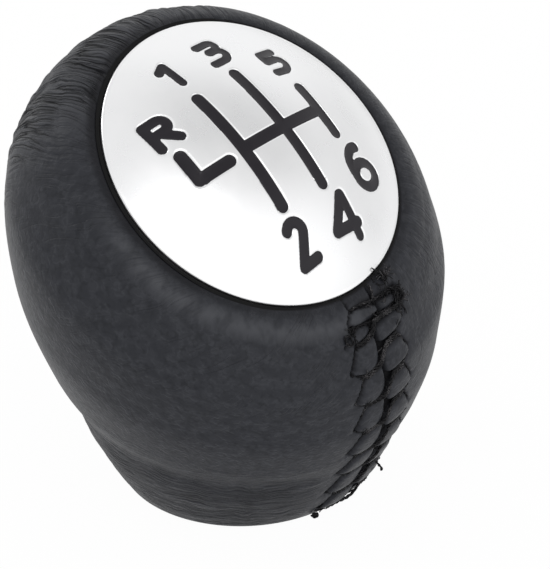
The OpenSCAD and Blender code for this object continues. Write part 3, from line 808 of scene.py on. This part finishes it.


# %% [markdown]
# ## Leather finish
# The hide is nearly black, and what the eye sees is its satin sheen broken up by grain. A shader
# group gives the grain: small pebbles, finer pores, a net of folds with painted highlights, dips
# with painted shade and a change of tone. A second one draws fine creases, which are duller than
# the hide and painted darker as shade. The gathered crown, the stretched neck and the polished roll
# are painted a little lighter as sheen, and the seam's grooves and a band beside the badge are painted darker
# as shade.


# %% Leather material
def make_grain_group():
    """Pebbled grain for the hide: tone with painted highlights along its folds, roughness, painted shade in
    its dips, and height.
    """
    inputs = {"Place": "Vector", "Pebble": 0.6, "Pore": 0.2, "Tone size": 8.0}
    outputs = {"Tone": "Float", "Dullness": "Float", "Dip shade": "Float", "Height": "Float"}
    tree, given, out = new_group("pebble_grain", "ShaderNodeTree", inputs, outputs)
    place = given["Place"]
    pebble_scale = 1.0 / given["Pebble"]
    ins = {"Vector": place, "Scale": pebble_scale, "Smoothness": 0.6}
    cells = add(tree, "ShaderNodeTexVoronoi", ins, feature="SMOOTH_F1")["Distance"]
    pores = noise(place, 1.0 / given["Pore"])
    tone = noise(place, 1.0 / given["Tone size"], 3.0)
    fold = calc("ABSOLUTE", noise(place, pebble_scale * 0.36) - 0.5)
    folds = soft_map(fold, 0.0, 0.075, 1.0, 0.0) * soft_map(tone, 0.38, 0.62, 0.15, 1.0)
    # The tone is lifted along the folds as a painted highlight, and the dips carry painted shade.
    fill(out, {"Tone": calc("ADD", soft_map(tone, 0.34, 0.66, 0.2, 0.65), folds * 0.4, clamp=True),
               "Dullness": cells * pores,
               "Dip shade": soft_map(cells, 0.5, 0.9, 0.0, 0.6),
               "Height": pores * 0.35 - cells * 0.45 + folds * 0.45})
    return tree


def make_wrinkle_group():
    """Fine creases that run along V: thin branching lines that come and go."""
    inputs = {"Place": "Vector", "Spacing": 1.2, "Length": 8.0, "Seed": 1.0}
    outputs = {"Lines": "Float", "Height": "Float"}
    tree, given, out = new_group("fine_creases", "ShaderNodeTree", inputs, outputs)
    place = given["Place"]
    parts = add(tree, "ShaderNodeSeparateXYZ", {0: place})
    u = parts + (noise(place, 0.22, 1.5) - 0.5) * 2.6
    stretched = vector_of(u / given["Spacing"], parts[1] / given["Length"], given["Seed"])
    fold = calc("ABSOLUTE", noise(stretched, 1.0, 1.0, 0.4) - 0.5)
    lines = remap(fold, 0.0, 0.05, 1.0, 0.0) * soft_map(noise(place, 0.16, 1.0), 0.40, 0.58, 0.1, 1.0)
    fill(out, {"Lines": lines, "Height": remap(fold, 0.0, 0.3, 0.0, 1.0) * 0.6 - lines})
    return tree


grain_group = make_grain_group()
wrinkle_group = make_wrinkle_group()


def creases(place, spacing, length, seed):
    """The fine-crease group in a material."""
    ins = {"Place": place, "Spacing": spacing, "Length": length, "Seed": seed}
    return add(place.tree, "ShaderNodeGroup", ins, node_tree=wrinkle_group)


def make_leather():
    """Satin black hide: grain everywhere, and creases, painted sheen and painted shade where the mesh's
    weights say so.
    """
    material, tree, shader = new_material("satin_leather")
    place = coordinates(tree, "UV", MAP_SIZE)
    crown, neck, crease, stitched, polish_and_sheen, painted_shade_band = [
        add(tree, "ShaderNodeAttribute", attribute_name=name)["Fac"]
        for name in ("crown", "neck", "crease", "stitched", "polish_and_sheen", "painted_shade_band")]
    ins = {"Place": place, "Pebble": 0.5, "Pore": 0.16, "Tone size": 1.7}
    grain = add(tree, "ShaderNodeGroup", ins, node_tree=grain_group)
    around = add(tree, "ShaderNodeSeparateXYZ", {0: place})
    along = around[1]
    drawn = vector_of(leaning(around, along), along)
    bold = creases(drawn, 1.15, 9.0, 8.0)
    radial = creases(drawn, 0.60, 6.0, 2.0)
    level = creases(vector_of(along, around), 0.75, 12.0, 5.0)
    gathers = calc("MAXIMUM", bold["Lines"], radial["Lines"] * 0.55)
    lines = calc("ADD", gathers * crown * 0.9, level["Lines"] * neck * 0.45, clamp=True)
    # Painted shade: the fine creases, the pressed folds and the seam's grooves and valley are coloured nearly
    # black.
    dark = calc("MAXIMUM", calc("MAXIMUM", lines, crease * 0.35), stitched, clamp=True)
    sheen_zone = calc("MAXIMUM", polish_and_sheen * soft_map(noise(place, 0.45), 0.36, 0.6, 0.35, 1.0), crown * 0.9)
    hide = blend_colours(grain["Tone"], (0.0150, 0.0160, 0.0202), (0.0320, 0.0336, 0.0398))
    # Painted shade in the grain's dips.
    hide = blend_colours(grain["Dip shade"], hide, (0.011, 0.012, 0.015))
    # Painted sheen: the polished roll, the crown and the neck are painted lighter.
    hide = blend_colours(calc("ADD", sheen_zone, neck * 0.32, clamp=True), hide, (0.052, 0.054, 0.061))
    # Painted shade beside the badge.
    hide = blend_colours(painted_shade_band, hide, (0.005, 0.005, 0.007))
    dull = remap(grain["Dullness"], 0.05, 0.4, 0.39, 0.46) - polish_and_sheen * 0.07
    folds = (bold["Height"] * 0.75 + radial["Height"] * 0.22) * crown + level["Height"] * neck * 0.16
    # The base colour takes the painted shade of creases and seam grooves here.
    fill(shader, {"Base Color": blend_colours(dark, hide, (0.003, 0.003, 0.004)),
                  "Roughness": dull + dark * 0.3,
                  "Normal": bump(grain["Height"] * 0.045 + folds, 1.0, MM),
                  "Specular IOR Level": 0.15})
    return material


folds = {"Crown depth": 0.40, "Neck depth": 0.08, "Crown spacing": 1.9, "Neck spacing": 1.3, "Seed": 3.0}
run_tree(leather, make_crease_tree(make_leather()), folds)
hand_over(leather, "leather", "leather_cover")
print("leather triangles:", 2 * len(leather.data.polygons))

# %% [markdown]
# ## The shift pattern as strokes
# Each line and figure of the pattern is a pen stroke of a given width. From the strokes comes a
# distance field: how far any point of the badge lies from the nearest stroke, negative inside one.
# The field makes clean grooves with even bevels wherever strokes meet, with no cutting of meshes.

# %% Shift pattern
PLANE_PITCH = 6.85
FIRST_X = -4.5
SECOND_X = FIRST_X + PLANE_PITCH
THIRD_X = SECOND_X + PLANE_PITCH
REVERSE_X = FIRST_X - PLANE_PITCH
NEUTRAL_Y = 0.5
LONG_REACH = 8.1
SHORT_REACH = 3.45
REVERSE_RISE = 3.6
REVERSE_FOOT = 4.4
LINE_W = 1.6
# Height and stroke of the front numerals, the rear numerals and the letter.
SMALL = (4.3, 1.1)
LARGE = (6.4, 1.35)
LETTER = (4.7, 1.25)
# Middle of each row of figures: beyond the line's end, a gap and half the figure.
FRONT_Y = NEUTRAL_Y + LONG_REACH + LINE_W / 2 + 1.6 + SMALL[0] / 2
REAR_Y = NEUTRAL_Y - LONG_REACH - LINE_W / 2 - 0.65 - LARGE[0] / 2
SHORT_FRONT_Y = NEUTRAL_Y + SHORT_REACH + LINE_W / 2 + 1.6 + SMALL[0] / 2
SHORT_REAR_Y = NEUTRAL_Y - SHORT_REACH - LINE_W / 2 - 1.0 - LARGE[0] / 2
LETTER_Y = NEUTRAL_Y + REVERSE_RISE + LINE_W / 2 + 0.15 + LETTER[0] / 2
REVERSE_LOW = -LINE_W / 4


def bow(centre, size, start, end, steps=20):
    """Points along part of an ellipse, from one angle to another in degrees."""
    turns = np.radians(np.linspace(start, end, steps))
    return [(centre[0] + size[0] * math.cos(t), centre[1] + size[1] * math.sin(t)) for t in turns]


# Each figure as pen strokes on a field that runs from -0.5 to 0.5 in height.
GLYPHS = {
    "1": [[(0.12, 0.5), (0.12, -0.5)], [(0.12, 0.5), (-0.24, 0.3)]],
    "2": [bow((-0.04, 0.27), (0.22, 0.23), 155, -15) + [(-0.19, -0.5)], [(-0.19, -0.5), (0.26, -0.46)]],
    "3": [[(-0.4, 0.5)] + bow((0.18, 0.29), (0.22, 0.21), 90, -90) + [(-0.12, 0.08)],
          [(-0.15, 0.06)] + bow((0.08, -0.22), (0.36, 0.28), 90, -90) + [(-0.43, -0.5)]],
    "4": [[(0.24, 0.5), (0.28, -0.5)], [(0.2, 0.5), (-0.37, -0.22)], [(-0.37, -0.22), (0.4, -0.22)]],
    "5": [[(-0.38, 0.5), (0.35, 0.48)], [(-0.38, 0.5), (-0.38, 0.12)],
          [(-0.38, 0.12)] + bow((0.08, -0.19), (0.38, 0.31), 90, -90) + [(-0.4, -0.46)]],
    "6": [bow((0.05, 0.03), (0.42, 0.47), 78, 190), bow((-0.01, -0.2), (0.34, 0.3), -20, 345)],
    "R": [[(-0.35, 0.5), (-0.35, -0.5)], [(-0.03, 0.02), (0.46, -0.45)],
          [(-0.35, 0.5)] + bow((0.16, 0.26), (0.26, 0.24), 90, -90) + [(-0.35, 0.02)]],
}


def figure(name, x, y, size):
    """Strokes of one figure: each is its points and its width."""
    height, width = size
    return [([(x + u * (height - width), y + v * (height - width)) for u, v in path], width)
            for path in GLYPHS[name]]


def lines(*paths):
    """Strokes of the gate; their heights count from the neutral line."""
    return [([(x, NEUTRAL_Y + y) for x, y in path], LINE_W) for path in paths]


PATTERN = {
    "gate_enamel": lines([(FIRST_X, -LONG_REACH), (FIRST_X, LONG_REACH)],
                         [(SECOND_X, -LONG_REACH), (SECOND_X, LONG_REACH + 0.6)],
                         [(THIRD_X, -SHORT_REACH), (THIRD_X, SHORT_REACH)], [(FIRST_X, 0), (THIRD_X, 0)]),
    "reverse_leg_enamel": lines([(REVERSE_X, REVERSE_RISE + REVERSE_LOW), (REVERSE_X, REVERSE_LOW),
                                 (REVERSE_X + REVERSE_FOOT, REVERSE_LOW)]),
    "numeral_1_enamel": figure("1", FIRST_X, FRONT_Y, SMALL),
    "numeral_2_enamel": figure("2", FIRST_X + 0.1, REAR_Y, LARGE),
    "numeral_3_enamel": figure("3", SECOND_X + 0.4, FRONT_Y, SMALL),
    "numeral_4_enamel": figure("4", SECOND_X + 0.5, REAR_Y, LARGE),
    "numeral_5_enamel": figure("5", THIRD_X + 0.1, SHORT_FRONT_Y, SMALL),
    "numeral_6_enamel": figure("6", THIRD_X + 1, SHORT_REAR_Y, LARGE),
    "letter_r_enamel": figure("R", REVERSE_X + 0.2, LETTER_Y, LETTER),
}


def to_strokes(x, y, strokes):
    """Distance from each point to the nearest stroke's edge, negative inside."""
    best = np.full(x.shape, np.inf)
    for path, width in strokes:
        for (ax, ay), (bx, by) in zip(path[:-1], path[1:]):
            length = (bx - ax) ** 2 + (by - ay) ** 2 + 1e-12
            t = np.clip(((x - ax) * (bx - ax) + (y - ay) * (by - ay)) / length, 0, 1)
            gap = np.hypot(x - ax - t * (bx - ax), y - ay - t * (by - ay)) - width / 2
            best = np.minimum(best, gap)
    return best


def snapped(x, y, strokes, level, reach):
    """Moves points that lie close to a level of the field onto it."""
    step = 0.01
    d = to_strokes(x, y, strokes)
    gx = (to_strokes(x + step, y, strokes) - to_strokes(x - step, y, strokes)) / (2 * step)
    gy = (to_strokes(x, y + step, strokes) - to_strokes(x, y - step, strokes)) / (2 * step)
    close = np.abs(d - level) < reach
    push = np.where(close, level - d, 0.0)
    return x + push * gx, y + push * gy, close


print("strokes in the pattern:", sum(len(rows) for rows in PATTERN.values()))

# %% [markdown]
# ## The metal badge
# The badge is a shallow dome, pressed and then engraved. A square grid bent into a circle gives
# even cells and a round rim. Its points are lowered by a groove profile that depends only on the
# distance field: a small rounded bevel, a steep wall and a flat floor. Points near the groove's edge
# are first moved onto it, so that the edge is crisp.

# %% Badge disc
BADGE_R = BADGE_D / 2
DOME_R = (BADGE_R ** 2 + DOME_RISE ** 2) / (2 * DOME_RISE)
BADGE_T = 1.0
SKIRT = 1.2
GROOVE = 0.45
BEVEL = 0.2
BEVEL_DROP = 0.09
WALL = 0.06
RIM = 0.3
BADGE_CELLS = 276
ALL_STROKES = [row for rows in PATTERN.values() for row in rows]


def dome_height(r, depth=0.0):
    """Height of the plain dome, or of one at a depth below it, over the badge's edge plane."""
    return np.sqrt((DOME_R - depth) ** 2 - r ** 2) - DOME_R + DOME_RISE


def badge_piece(name, points, faces):
    """A piece from points in the badge's own frame, turned to their place on the tilted head."""
    x, y, z = points.T
    placed = np.stack([x, y * math.cos(TILT) - z * math.sin(TILT) - BADGE_BACK,
                       y * math.sin(TILT) + z * math.cos(TILT) + BADGE_H], axis=-1)
    piece = mesh_piece(name, placed, [], faces)
    piece.data.validate()
    return piece


def groove_profile(d):
    """Height of the metal beside and in a groove, from the distance to the stroke's edge."""
    t = np.clip(1 - d / BEVEL, 0, 1)
    bevel = -BEVEL_DROP * (1 - np.sqrt(1 - 0.999 * t ** 2))
    return bevel + (BEVEL_DROP - GROOVE) * smooth_step(-d, 0.0, WALL)


def grid_corners(rows, columns):
    """The four corners of every cell of a grid, as four columns of numbers."""
    a = (np.arange(rows - 1)[:, None] * columns + np.arange(columns - 1)).ravel()
    return np.stack([a, a + 1, a + 1 + columns, a + columns], axis=-1)


def split_along(quads, on_edge):
    """Quads as they are, except where two opposite corners lie on the edge: there two triangles."""
    held = on_edge[quads]
    ac = held[:, 0] & held[:, 2] & ~(held[:, 1] & held[:, 3])
    bd = held[:, 1] & held[:, 3] & ~(held[:, 0] & held[:, 2])
    faces = quads[~(ac | bd)].tolist()
    for split, corners in ((ac, (0, 1, 2)), (ac, (0, 2, 3)), (bd, (0, 1, 3)), (bd, (1, 2, 3))):
        faces += quads[split][:, corners].tolist()
    return faces


def make_badge():
    """The engraved dome with its rounded rim, skirt and inside."""
    n = BADGE_CELLS + 1
    u, v = np.meshgrid(np.linspace(-1, 1, n), np.linspace(-1, 1, n))
    x, y = (BADGE_R - RIM) * u * np.sqrt(1 - v ** 2 / 2), (BADGE_R - RIM) * v * np.sqrt(1 - u ** 2 / 2)
    pitch = 2 * BADGE_R / BADGE_CELLS
    x, y, on_edge = snapped(x, y, ALL_STROKES, 0.0, 0.5 * pitch)
    x, y, _ = snapped(x, y, ALL_STROKES, BEVEL, 0.35 * pitch)
    d = np.where(on_edge, 0.0, to_strokes(x, y, ALL_STROKES))
    z = dome_height(np.hypot(x, y)) + groove_profile(d)
    top = np.stack([x, y, z], axis=-1).reshape(-1, 3)
    faces = split_along(grid_corners(n, n), on_edge.ravel())
    side = np.arange(n - 1)
    ring = np.concatenate([side, side * n + n - 1, n * n - 1 - side, (n - 1 - side) * n])
    angles = np.arctan2(top[ring, 1], top[ring, 0])
    inner = BADGE_R - BADGE_T
    rim_z = dome_height(BADGE_R - RIM)
    profile = [(BADGE_R - RIM * (1 - math.sin(t)), rim_z - RIM * (1 - math.cos(t)))
               for t in (0.5, 0.9, 1.25, math.pi / 2)]
    profile += [(BADGE_R, -SKIRT + 0.1), (BADGE_R - 0.1, -SKIRT), (inner, -SKIRT), (inner, -BADGE_T)]
    profile += [(r, dome_height(r, BADGE_T)) for r in (17.4, 13.0, 8.0, 3.0)]
    turned = [np.stack([r * np.cos(angles), r * np.sin(angles), z + 0 * angles], axis=-1) for r, z in profile]
    apex = n * n + len(profile) * len(ring)
    loops = np.concatenate([[ring], np.arange(n * n, apex).reshape(-1, len(ring))])
    ahead = np.roll(loops, -1, axis=1)
    faces += np.stack([loops[:-1], loops[1:], ahead[1:], ahead[:-1]], axis=-1).reshape(-1, 4).tolist()
    faces += [(p, apex, q) for p, q in zip(loops[-1].tolist(), ahead[-1].tolist())]
    return badge_piece("engraved_badge", np.concatenate([top, *turned, [[0, 0, DOME_RISE - BADGE_T]]]), faces)


badge = make_badge()
print("badge faces:", len(badge.data.polygons))

# %% [markdown]
# ## Enamel in the grooves
# The black enamel was poured in and pulled itself up a little at the walls, so its surface is a
# shallow channel that mirrors the light tent. Each pool is cut from a grid by the same distance
# field, and closed below.

# %% Enamel pools
ENAMEL_SINK = 0.15
ENAMEL_CELL = 0.13
MENISCUS = 0.07
MENISCUS_REACH = 0.16
WALL_GAP = 0.02


def make_pool(name, strokes):
    """One pool of enamel: a curved top, a flat bottom and a wall between them."""
    spots = np.array([p for path, _ in strokes for p in path])
    low, high = spots.min(axis=0) - 1.2, spots.max(axis=0) + 1.2
    x, y = np.meshgrid(np.arange(low[0], high[0], ENAMEL_CELL), np.arange(low[1], high[1], ENAMEL_CELL))
    x, y, on_edge = snapped(x, y, strokes, -WALL_GAP, 0.5 * ENAMEL_CELL)
    d = np.where(on_edge, -WALL_GAP, to_strokes(x, y, strokes))
    inside = (d < -WALL_GAP + 1e-6).ravel()
    corners = grid_corners(*x.shape)
    count = inside[corners].sum(axis=1)
    tops = corners[count == 4].tolist() + [row[inside[row]].tolist() for row in corners[count == 3]]
    dome = dome_height(np.hypot(x, y))
    top = dome - ENAMEL_SINK + MENISCUS * np.exp((d + WALL_GAP) / MENISCUS_REACH)
    edges = dict.fromkeys((p, q) for face in tops for p, q in zip(face, face[1:] + face[:1]))
    used = sorted({p for p, q in edges})
    flat = [np.stack([x, y, z], axis=-1).reshape(-1, 3)[used] for z in (top, dome - GROOVE + 0.02)]
    number = {v: k for k, v in enumerate(used)}
    m = len(used)
    faces = [[number[v] for v in f] for f in tops]
    faces += [[v + m for v in reversed(f)] for f in faces]
    faces += [[number[q], number[p], number[p] + m, number[q] + m] for p, q in edges if (q, p) not in edges]
    return badge_piece(name, np.concatenate(flat), faces)


pools = {node: make_pool(node.replace("_enamel", "_fill"), strokes) for node, strokes in PATTERN.items()}
print("pools:", {name: len(piece.data.polygons) for name, piece in pools.items()})

# %% [markdown]
# ## Metal, enamel and plastic finishes
# Satin metal isn't one grey: polish and tiny pits change its gloss from place to place. A second
# shader group gives such slow mottling, and the metal, the enamel, the gloss bezel and the plastics
# each use it with their own sizes.


# %% Mottle group and hard finishes
def make_mottle_group():
    """Slow mottling and fine pits, for hard surfaces."""
    inputs = {"Place": "Vector", "Patch": 6.0, "Pit": 0.2}
    tree, given, out = new_group("mottle", "ShaderNodeTree", inputs, {"Patches": "Float", "Pits": "Float"})
    fill(out, {"Patches": noise(given["Place"], 1.0 / given["Patch"], 3.0, 0.55),
               "Pits": noise(given["Place"], 1.0 / given["Pit"], 2.0, 0.6)})
    return tree


mottle_group = make_mottle_group()


def hard_finish(name, dark, light, rough, patch, pit, pit_depth, specular=0.5, metallic=0.0):
    """A hard surface whose colour and gloss change a little from place to place."""
    material, tree, shader = new_material(name)
    ins = {"Place": coordinates(tree), "Patch": patch, "Pit": pit}
    marks = add(tree, "ShaderNodeGroup", ins, node_tree=mottle_group)
    fill(shader, {"Base Color": blend_colours(marks["Patches"], dark, light),
                  "Roughness": remap(marks["Patches"], 0.3, 0.7, *rough),
                  "Normal": bump(marks["Pits"], 1.0, pit_depth * MM),
                  "Metallic": metallic, "Specular IOR Level": specular})
    return material


def one_grey(value):
    return (value, value, value * 1.04)


metal = hard_finish("satin_metal", (0.86, 0.865, 0.875), (0.93, 0.93, 0.935), (0.25, 0.33),
                    patch=5.0, pit=0.12, pit_depth=0.0012, metallic=1.0)
enamel = hard_finish("black_enamel", (0.0095, 0.0080, 0.0115), (0.0155, 0.0135, 0.0175), (0.12, 0.24),
                     patch=2.0, pit=0.4, pit_depth=0.003, specular=0.26)
badge.data.materials.append(metal)
hand_over(badge, "badge_metal", "badge_disc")
for node, piece in pools.items():
    piece.data.materials.append(enamel)
    hand_over(piece, "enamel", node)
# Solids that keep their own mesh: material, colours, roughness, patch, pit, its depth, specular.
for node, look in {
    "badge_carrier": ("gloss_bezel", one_grey(0.005), one_grey(0.008), (0.12, 0.22), 3.0, 0.3, 0.0008, 0.1),
    "base_ring": ("ring_plastic", one_grey(0.014), one_grey(0.022), (0.42, 0.55), 4.0, 0.25, 0.01),
    "knob_core": ("core_plastic", one_grey(0.03), one_grey(0.04), (0.6, 0.7), 5.0, 0.3, 0.02),
    "lever_bush": ("natural_nylon", (0.62, 0.60, 0.53), (0.70, 0.68, 0.61), (0.4, 0.55), 5.0, 0.35, 0.008),
    "adhesive_film": ("adhesive_film", (0.72, 0.72, 0.68), (0.8, 0.8, 0.76), (0.5, 0.6), 3.0, 0.3, 0.004),
}.items():
    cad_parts[node].data.materials.clear()
    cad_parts[node].data.materials.append(hard_finish(*look))

# %% [markdown]
# ## Threads
# The lacing is a waxed thread of two plies. A geometry node tree makes any such thread: it takes
# the paths as curves, turns a profile of round plies along them, and sweeps it into a mesh. The
# paths themselves lie on the leather, so they are worked out from the seam pattern.


# %% Thread tree
def make_thread_tree(material):
    """Sweeps a few twisted plies along every path of edges."""
    inputs = {"Geometry": "Geometry", "Ply radius": 0.15, "Ply offset": 0.15, "Plies": 2,
              "Turn length": 2.2, "Step": 0.15}
    tree, given, out = new_group("twisted_thread", "GeometryNodeTree", inputs, {"Geometry": "Geometry"})
    curves = add(tree, "GeometryNodeMeshToCurve", {"Mesh": given["Geometry"]})
    ins = {"Curve": curves, "Length": given["Step"] * MM}
    paths = add(tree, "GeometryNodeResampleCurve", ins, mode="LENGTH")
    turns = add(tree, "GeometryNodeSplineParameter")["Length"] / (given["Turn length"] * MM)
    turned = add(tree, "GeometryNodeSetCurveTilt", {"Curve": paths, "Tilt": turns * (2 * math.pi)})
    ply = add(tree, "GeometryNodeCurvePrimitiveCircle", {"Resolution": 6, "Radius": given["Ply radius"] * MM})
    line = add(tree, "GeometryNodeMeshLine", {"Count": given["Plies"], "Offset": (0.0, 0.0, 0.0)})
    spread = add(tree, "GeometryNodeInputIndex") * (2 * math.pi) / given["Plies"]
    offset = given["Ply offset"] * MM
    place = vector_of(calc("COSINE", spread) * offset, calc("SINE", spread) * offset)
    ring = add(tree, "GeometryNodeSetPosition", {"Geometry": line, "Position": place})
    plies = add(tree, "GeometryNodeInstanceOnPoints", {"Points": ring, "Instance": ply})
    profile = add(tree, "GeometryNodeRealizeInstances", {0: plies})
    ins = {"Curve": turned, "Profile Curve": profile, "Fill Caps": True}
    swept = add(tree, "GeometryNodeCurveToMesh", ins)
    end_tree(add(tree, "GeometryNodeSetShadeSmooth", {"Geometry": swept}), material, out)
    return tree


def make_thread_finish():
    """Black waxed thread: dull fibres, with painted highlights on a few of them."""
    material, tree, shader = new_material("waxed_thread")
    place = coordinates(tree)
    fibres = noise(place, 9.0, 3.0)
    # Painted highlights: a few fibres, in patches, are coloured lighter.
    highlight_patches = soft_map(noise(place, 0.55, 1.0), 0.50, 0.66, 0.12, 1.0)
    painted_glints = soft_map(fibres, 0.45, 0.62, 0.0, 1.0) * highlight_patches
    fill(shader, {"Base Color": blend_colours(painted_glints, (0.005, 0.005, 0.006), (0.092, 0.088, 0.092)),
                  "Roughness": remap(fibres, 0.3, 0.7, 0.42, 0.65),
                  "Normal": bump(fibres, 0.6, 0.04 * MM),
                  "Specular IOR Level": 0.14})
    return material


PATH_POINTS = 40
HOLE_OUT = 0.15
thread_tree = make_thread_tree(make_thread_finish())
rng = np.random.default_rng(6)


def within_seam(arc):
    return np.clip(arc, 0.1, SEAM_LENGTH - 0.1)


def seam_path(arc, x, height):
    """A path beside the seam that clears the relief by height mm."""
    arc, x = np.broadcast_arrays(within_seam(arc), x)
    return near_seam(arc, x, seam_profile(arc, x)[0] + SWELL + height)


def end_dive(t, reach, depth):
    """Takes both ends of a path down into its holes."""
    return -depth * (1 - smooth_step(t, 0, reach) + smooth_step(t, 1 - reach, 1))


def crossing(number, shift):
    """A thread that crosses the seam on the slant, from a hole on the left to one on the right."""
    t = np.linspace(0, 1, PATH_POINTS)
    level = CROSSINGS[number]
    x = -LEFT_EDGE - HOLE_OUT + (right_edge(level) + LEFT_EDGE + 2 * HOLE_OUT) * t
    wobble = rng.uniform(0.05, 0.12) * np.sin(t * rng.uniform(7, 12) + rng.uniform(0, 6))
    arc = np.minimum(level + climb(level, x) + shift + wobble, lower_line(x) + 0.5 * shift)
    bridge = 0.1 + 0.42 * bell(x - 0.3, 1.0) + 0.06 * np.sin(9 * t + number) + end_dive(t, 0.1, 0.45)
    return near_seam(within_seam(arc), x, SWELL + bridge)


def edge_run(number, side, low, high, height):
    """A thread along the saw-tooth edge of one cell, from phase low to phase high."""
    t = np.linspace(0, 1, 22)
    phase = low + (high - low) * t
    level = CROSSINGS[number] + phase * GAPS[number]
    x = side * pad_edge(side, phase, level)
    arc = np.minimum(level + climb(level, x) + 0.07 * np.sin(14 * t + number), lower_line(x))
    return seam_path(arc, x, height + end_dive(t, 0.12, 0.25))


def loose_fibre(arc, x, length, heading, lift, curl):
    """A fibre that leaves the surface at a point and curls through the air."""
    root = near_seam(arc, x, SWELL)
    up = near_seam(arc, x, SWELL + 1.0) - root
    side = near_seam(arc, x + 0.5, SWELL) - root
    side = side / np.linalg.norm(side)
    ahead = np.cross(up, side)
    points = [root]
    for k in range(10):
        turn = heading + curl * k / 10 + rng.normal(0, 0.12)
        step = math.cos(turn) * side + math.sin(turn) * ahead + lift * math.cos(2.2 * k / 10) * up
        points.append(points[-1] + length / 10 * step / np.linalg.norm(step))
    return np.array(points)


def tuft(count, arc, x, spread, length, lift):
    """A few loose fibres from nearly the same place."""
    rows = []
    for _ in range(count):
        heading = rng.uniform(0, 2 * math.pi)
        root = (arc + rng.normal(0, spread), x + rng.normal(0, spread))
        rows.append(loose_fibre(*root, length * rng.uniform(0.6, 1.3), heading, lift * rng.uniform(0.4, 1.4),
                                rng.uniform(-2.5, 2.5)))
    return rows


def thread_piece(name, paths, nodes, ply, offset, turn, **others):
    """Sweeps paths of points into one thread piece that stands for the CAD's plain tubes."""
    starts = np.cumsum([0] + [len(path) for path in paths])
    edges = [(k, k + 1) for a, b in zip(starts[:-1].tolist(), starts[1:].tolist()) for k in range(a, b - 1)]
    values = {"Ply radius": ply, "Ply offset": offset, "Turn length": turn, "Step": 0.13, **others}
    piece = run_tree(mesh_piece(name, np.concatenate(paths), edges, []), thread_tree, values)
    hand_over(piece, "thread", *nodes)
    return 2 * len(piece.data.polygons)


def edge_paths(side):
    """Both runs of the edge thread in every cell: down in the groove, and back over the leather."""
    return [edge_run(k, side, *run) for run in ((TOOTH_PEAK, 0.98, 0.02), (0.02, TOOTH_PEAK + 0.03, 0.10))
            for k in range(len(GAPS))]


def level_thread(line, low, high, shift):
    """A thread along one of the level lines beside the badge."""
    x = np.linspace(low, high, PATH_POINTS)
    t = np.linspace(0, 1, PATH_POINTS)
    arc = line(x) + shift + 0.06 * np.sin(11 * t + 5 * shift)
    return seam_path(arc, x, 0.14 + 0.05 * np.sin(17 * t) + end_dive(t, 0.08, 0.35))


def coil(arc, x, size, turns, lift):
    """A thread end that has rolled itself up."""
    turn = np.linspace(0, 2 * math.pi * turns, 16 * turns)
    height = lift + 0.12 * np.cos(turn) + 0.02 * turn
    return seam_path(arc + size * np.sin(turn), x + 0.75 * size * np.cos(turn), height)


t = np.linspace(0, 1, 24)
lace_paths = [crossing(i, shift) for i in range(SLANTED) for shift in (-0.22, 0.0, 0.2)]
lace_paths += [level_thread(*row) for row in (
    (lower_line, 1.2, 6.6, -0.26), (lower_line, -3.5, 6.6, 0.0), (lower_line, 1.8, 6.6, 0.22),
    (upper_line, -2.2, 6.9, 0.0), (upper_line, 3.0, 6.9, -0.15))]
lace_paths += [seam_path(SEAM_LENGTH - 0.4 - 3.6 * t, 2.5 - 0.5 * t + 0.08 * np.sin(9 * t), 0.22),
               near_seam(6.6 - 1.6 * t, 3.2 + 0.9 * t, SWELL + 0.1 + 1.1 * np.sin(1.9 * t))]
lace_paths += [coil(*row) for row in ((29.4, -4.0, 0.55, 1, 0.2), (0.5, -4.4, 0.4, 2, 0.3),
                                      (30.4, 5.9, 0.75, 3, 0.12), (33.0, 5.2, 0.45, 2, 0.12))]
counts = [thread_piece("lacing", lace_paths, ["lacing_thread"], 0.10, 0.09, 1.4)]
counts += [thread_piece(name + "_edge_stitching", edge_paths(side), ["edge_stitch_" + name], 0.085, 0.08, 1.0)
           for name, side in (("left", -1), ("right", 1))]
# Tufts of fibres: how many, where, how far spread, how long and how upright.
tufts = [(34, 30.3, 5.9, 0.45, 1.7, 0.35), (20, 33.0, 5.4, 0.3, 1.4, 0.9), (6, 5.6, 3.8, 0.15, 1.1, 0.6)]
for level in CROSSINGS:
    tufts += [(4, level - 1.5, -LEFT_EDGE, 0.15, 1.0, 0.3), (4, level + 1.6, RIGHT_EDGE, 0.15, 1.0, 0.3),
              (3, level, 0.2, 0.4, 1.0, 0.4)]
fibres = [fibre for row in tufts for fibre in tuft(*row)]
counts.append(thread_piece("frayed_fibres", fibres, [], 0.06, 0.0, 5.0, Plies=1, Step=0.16))
print("thread triangles:", sum(counts))
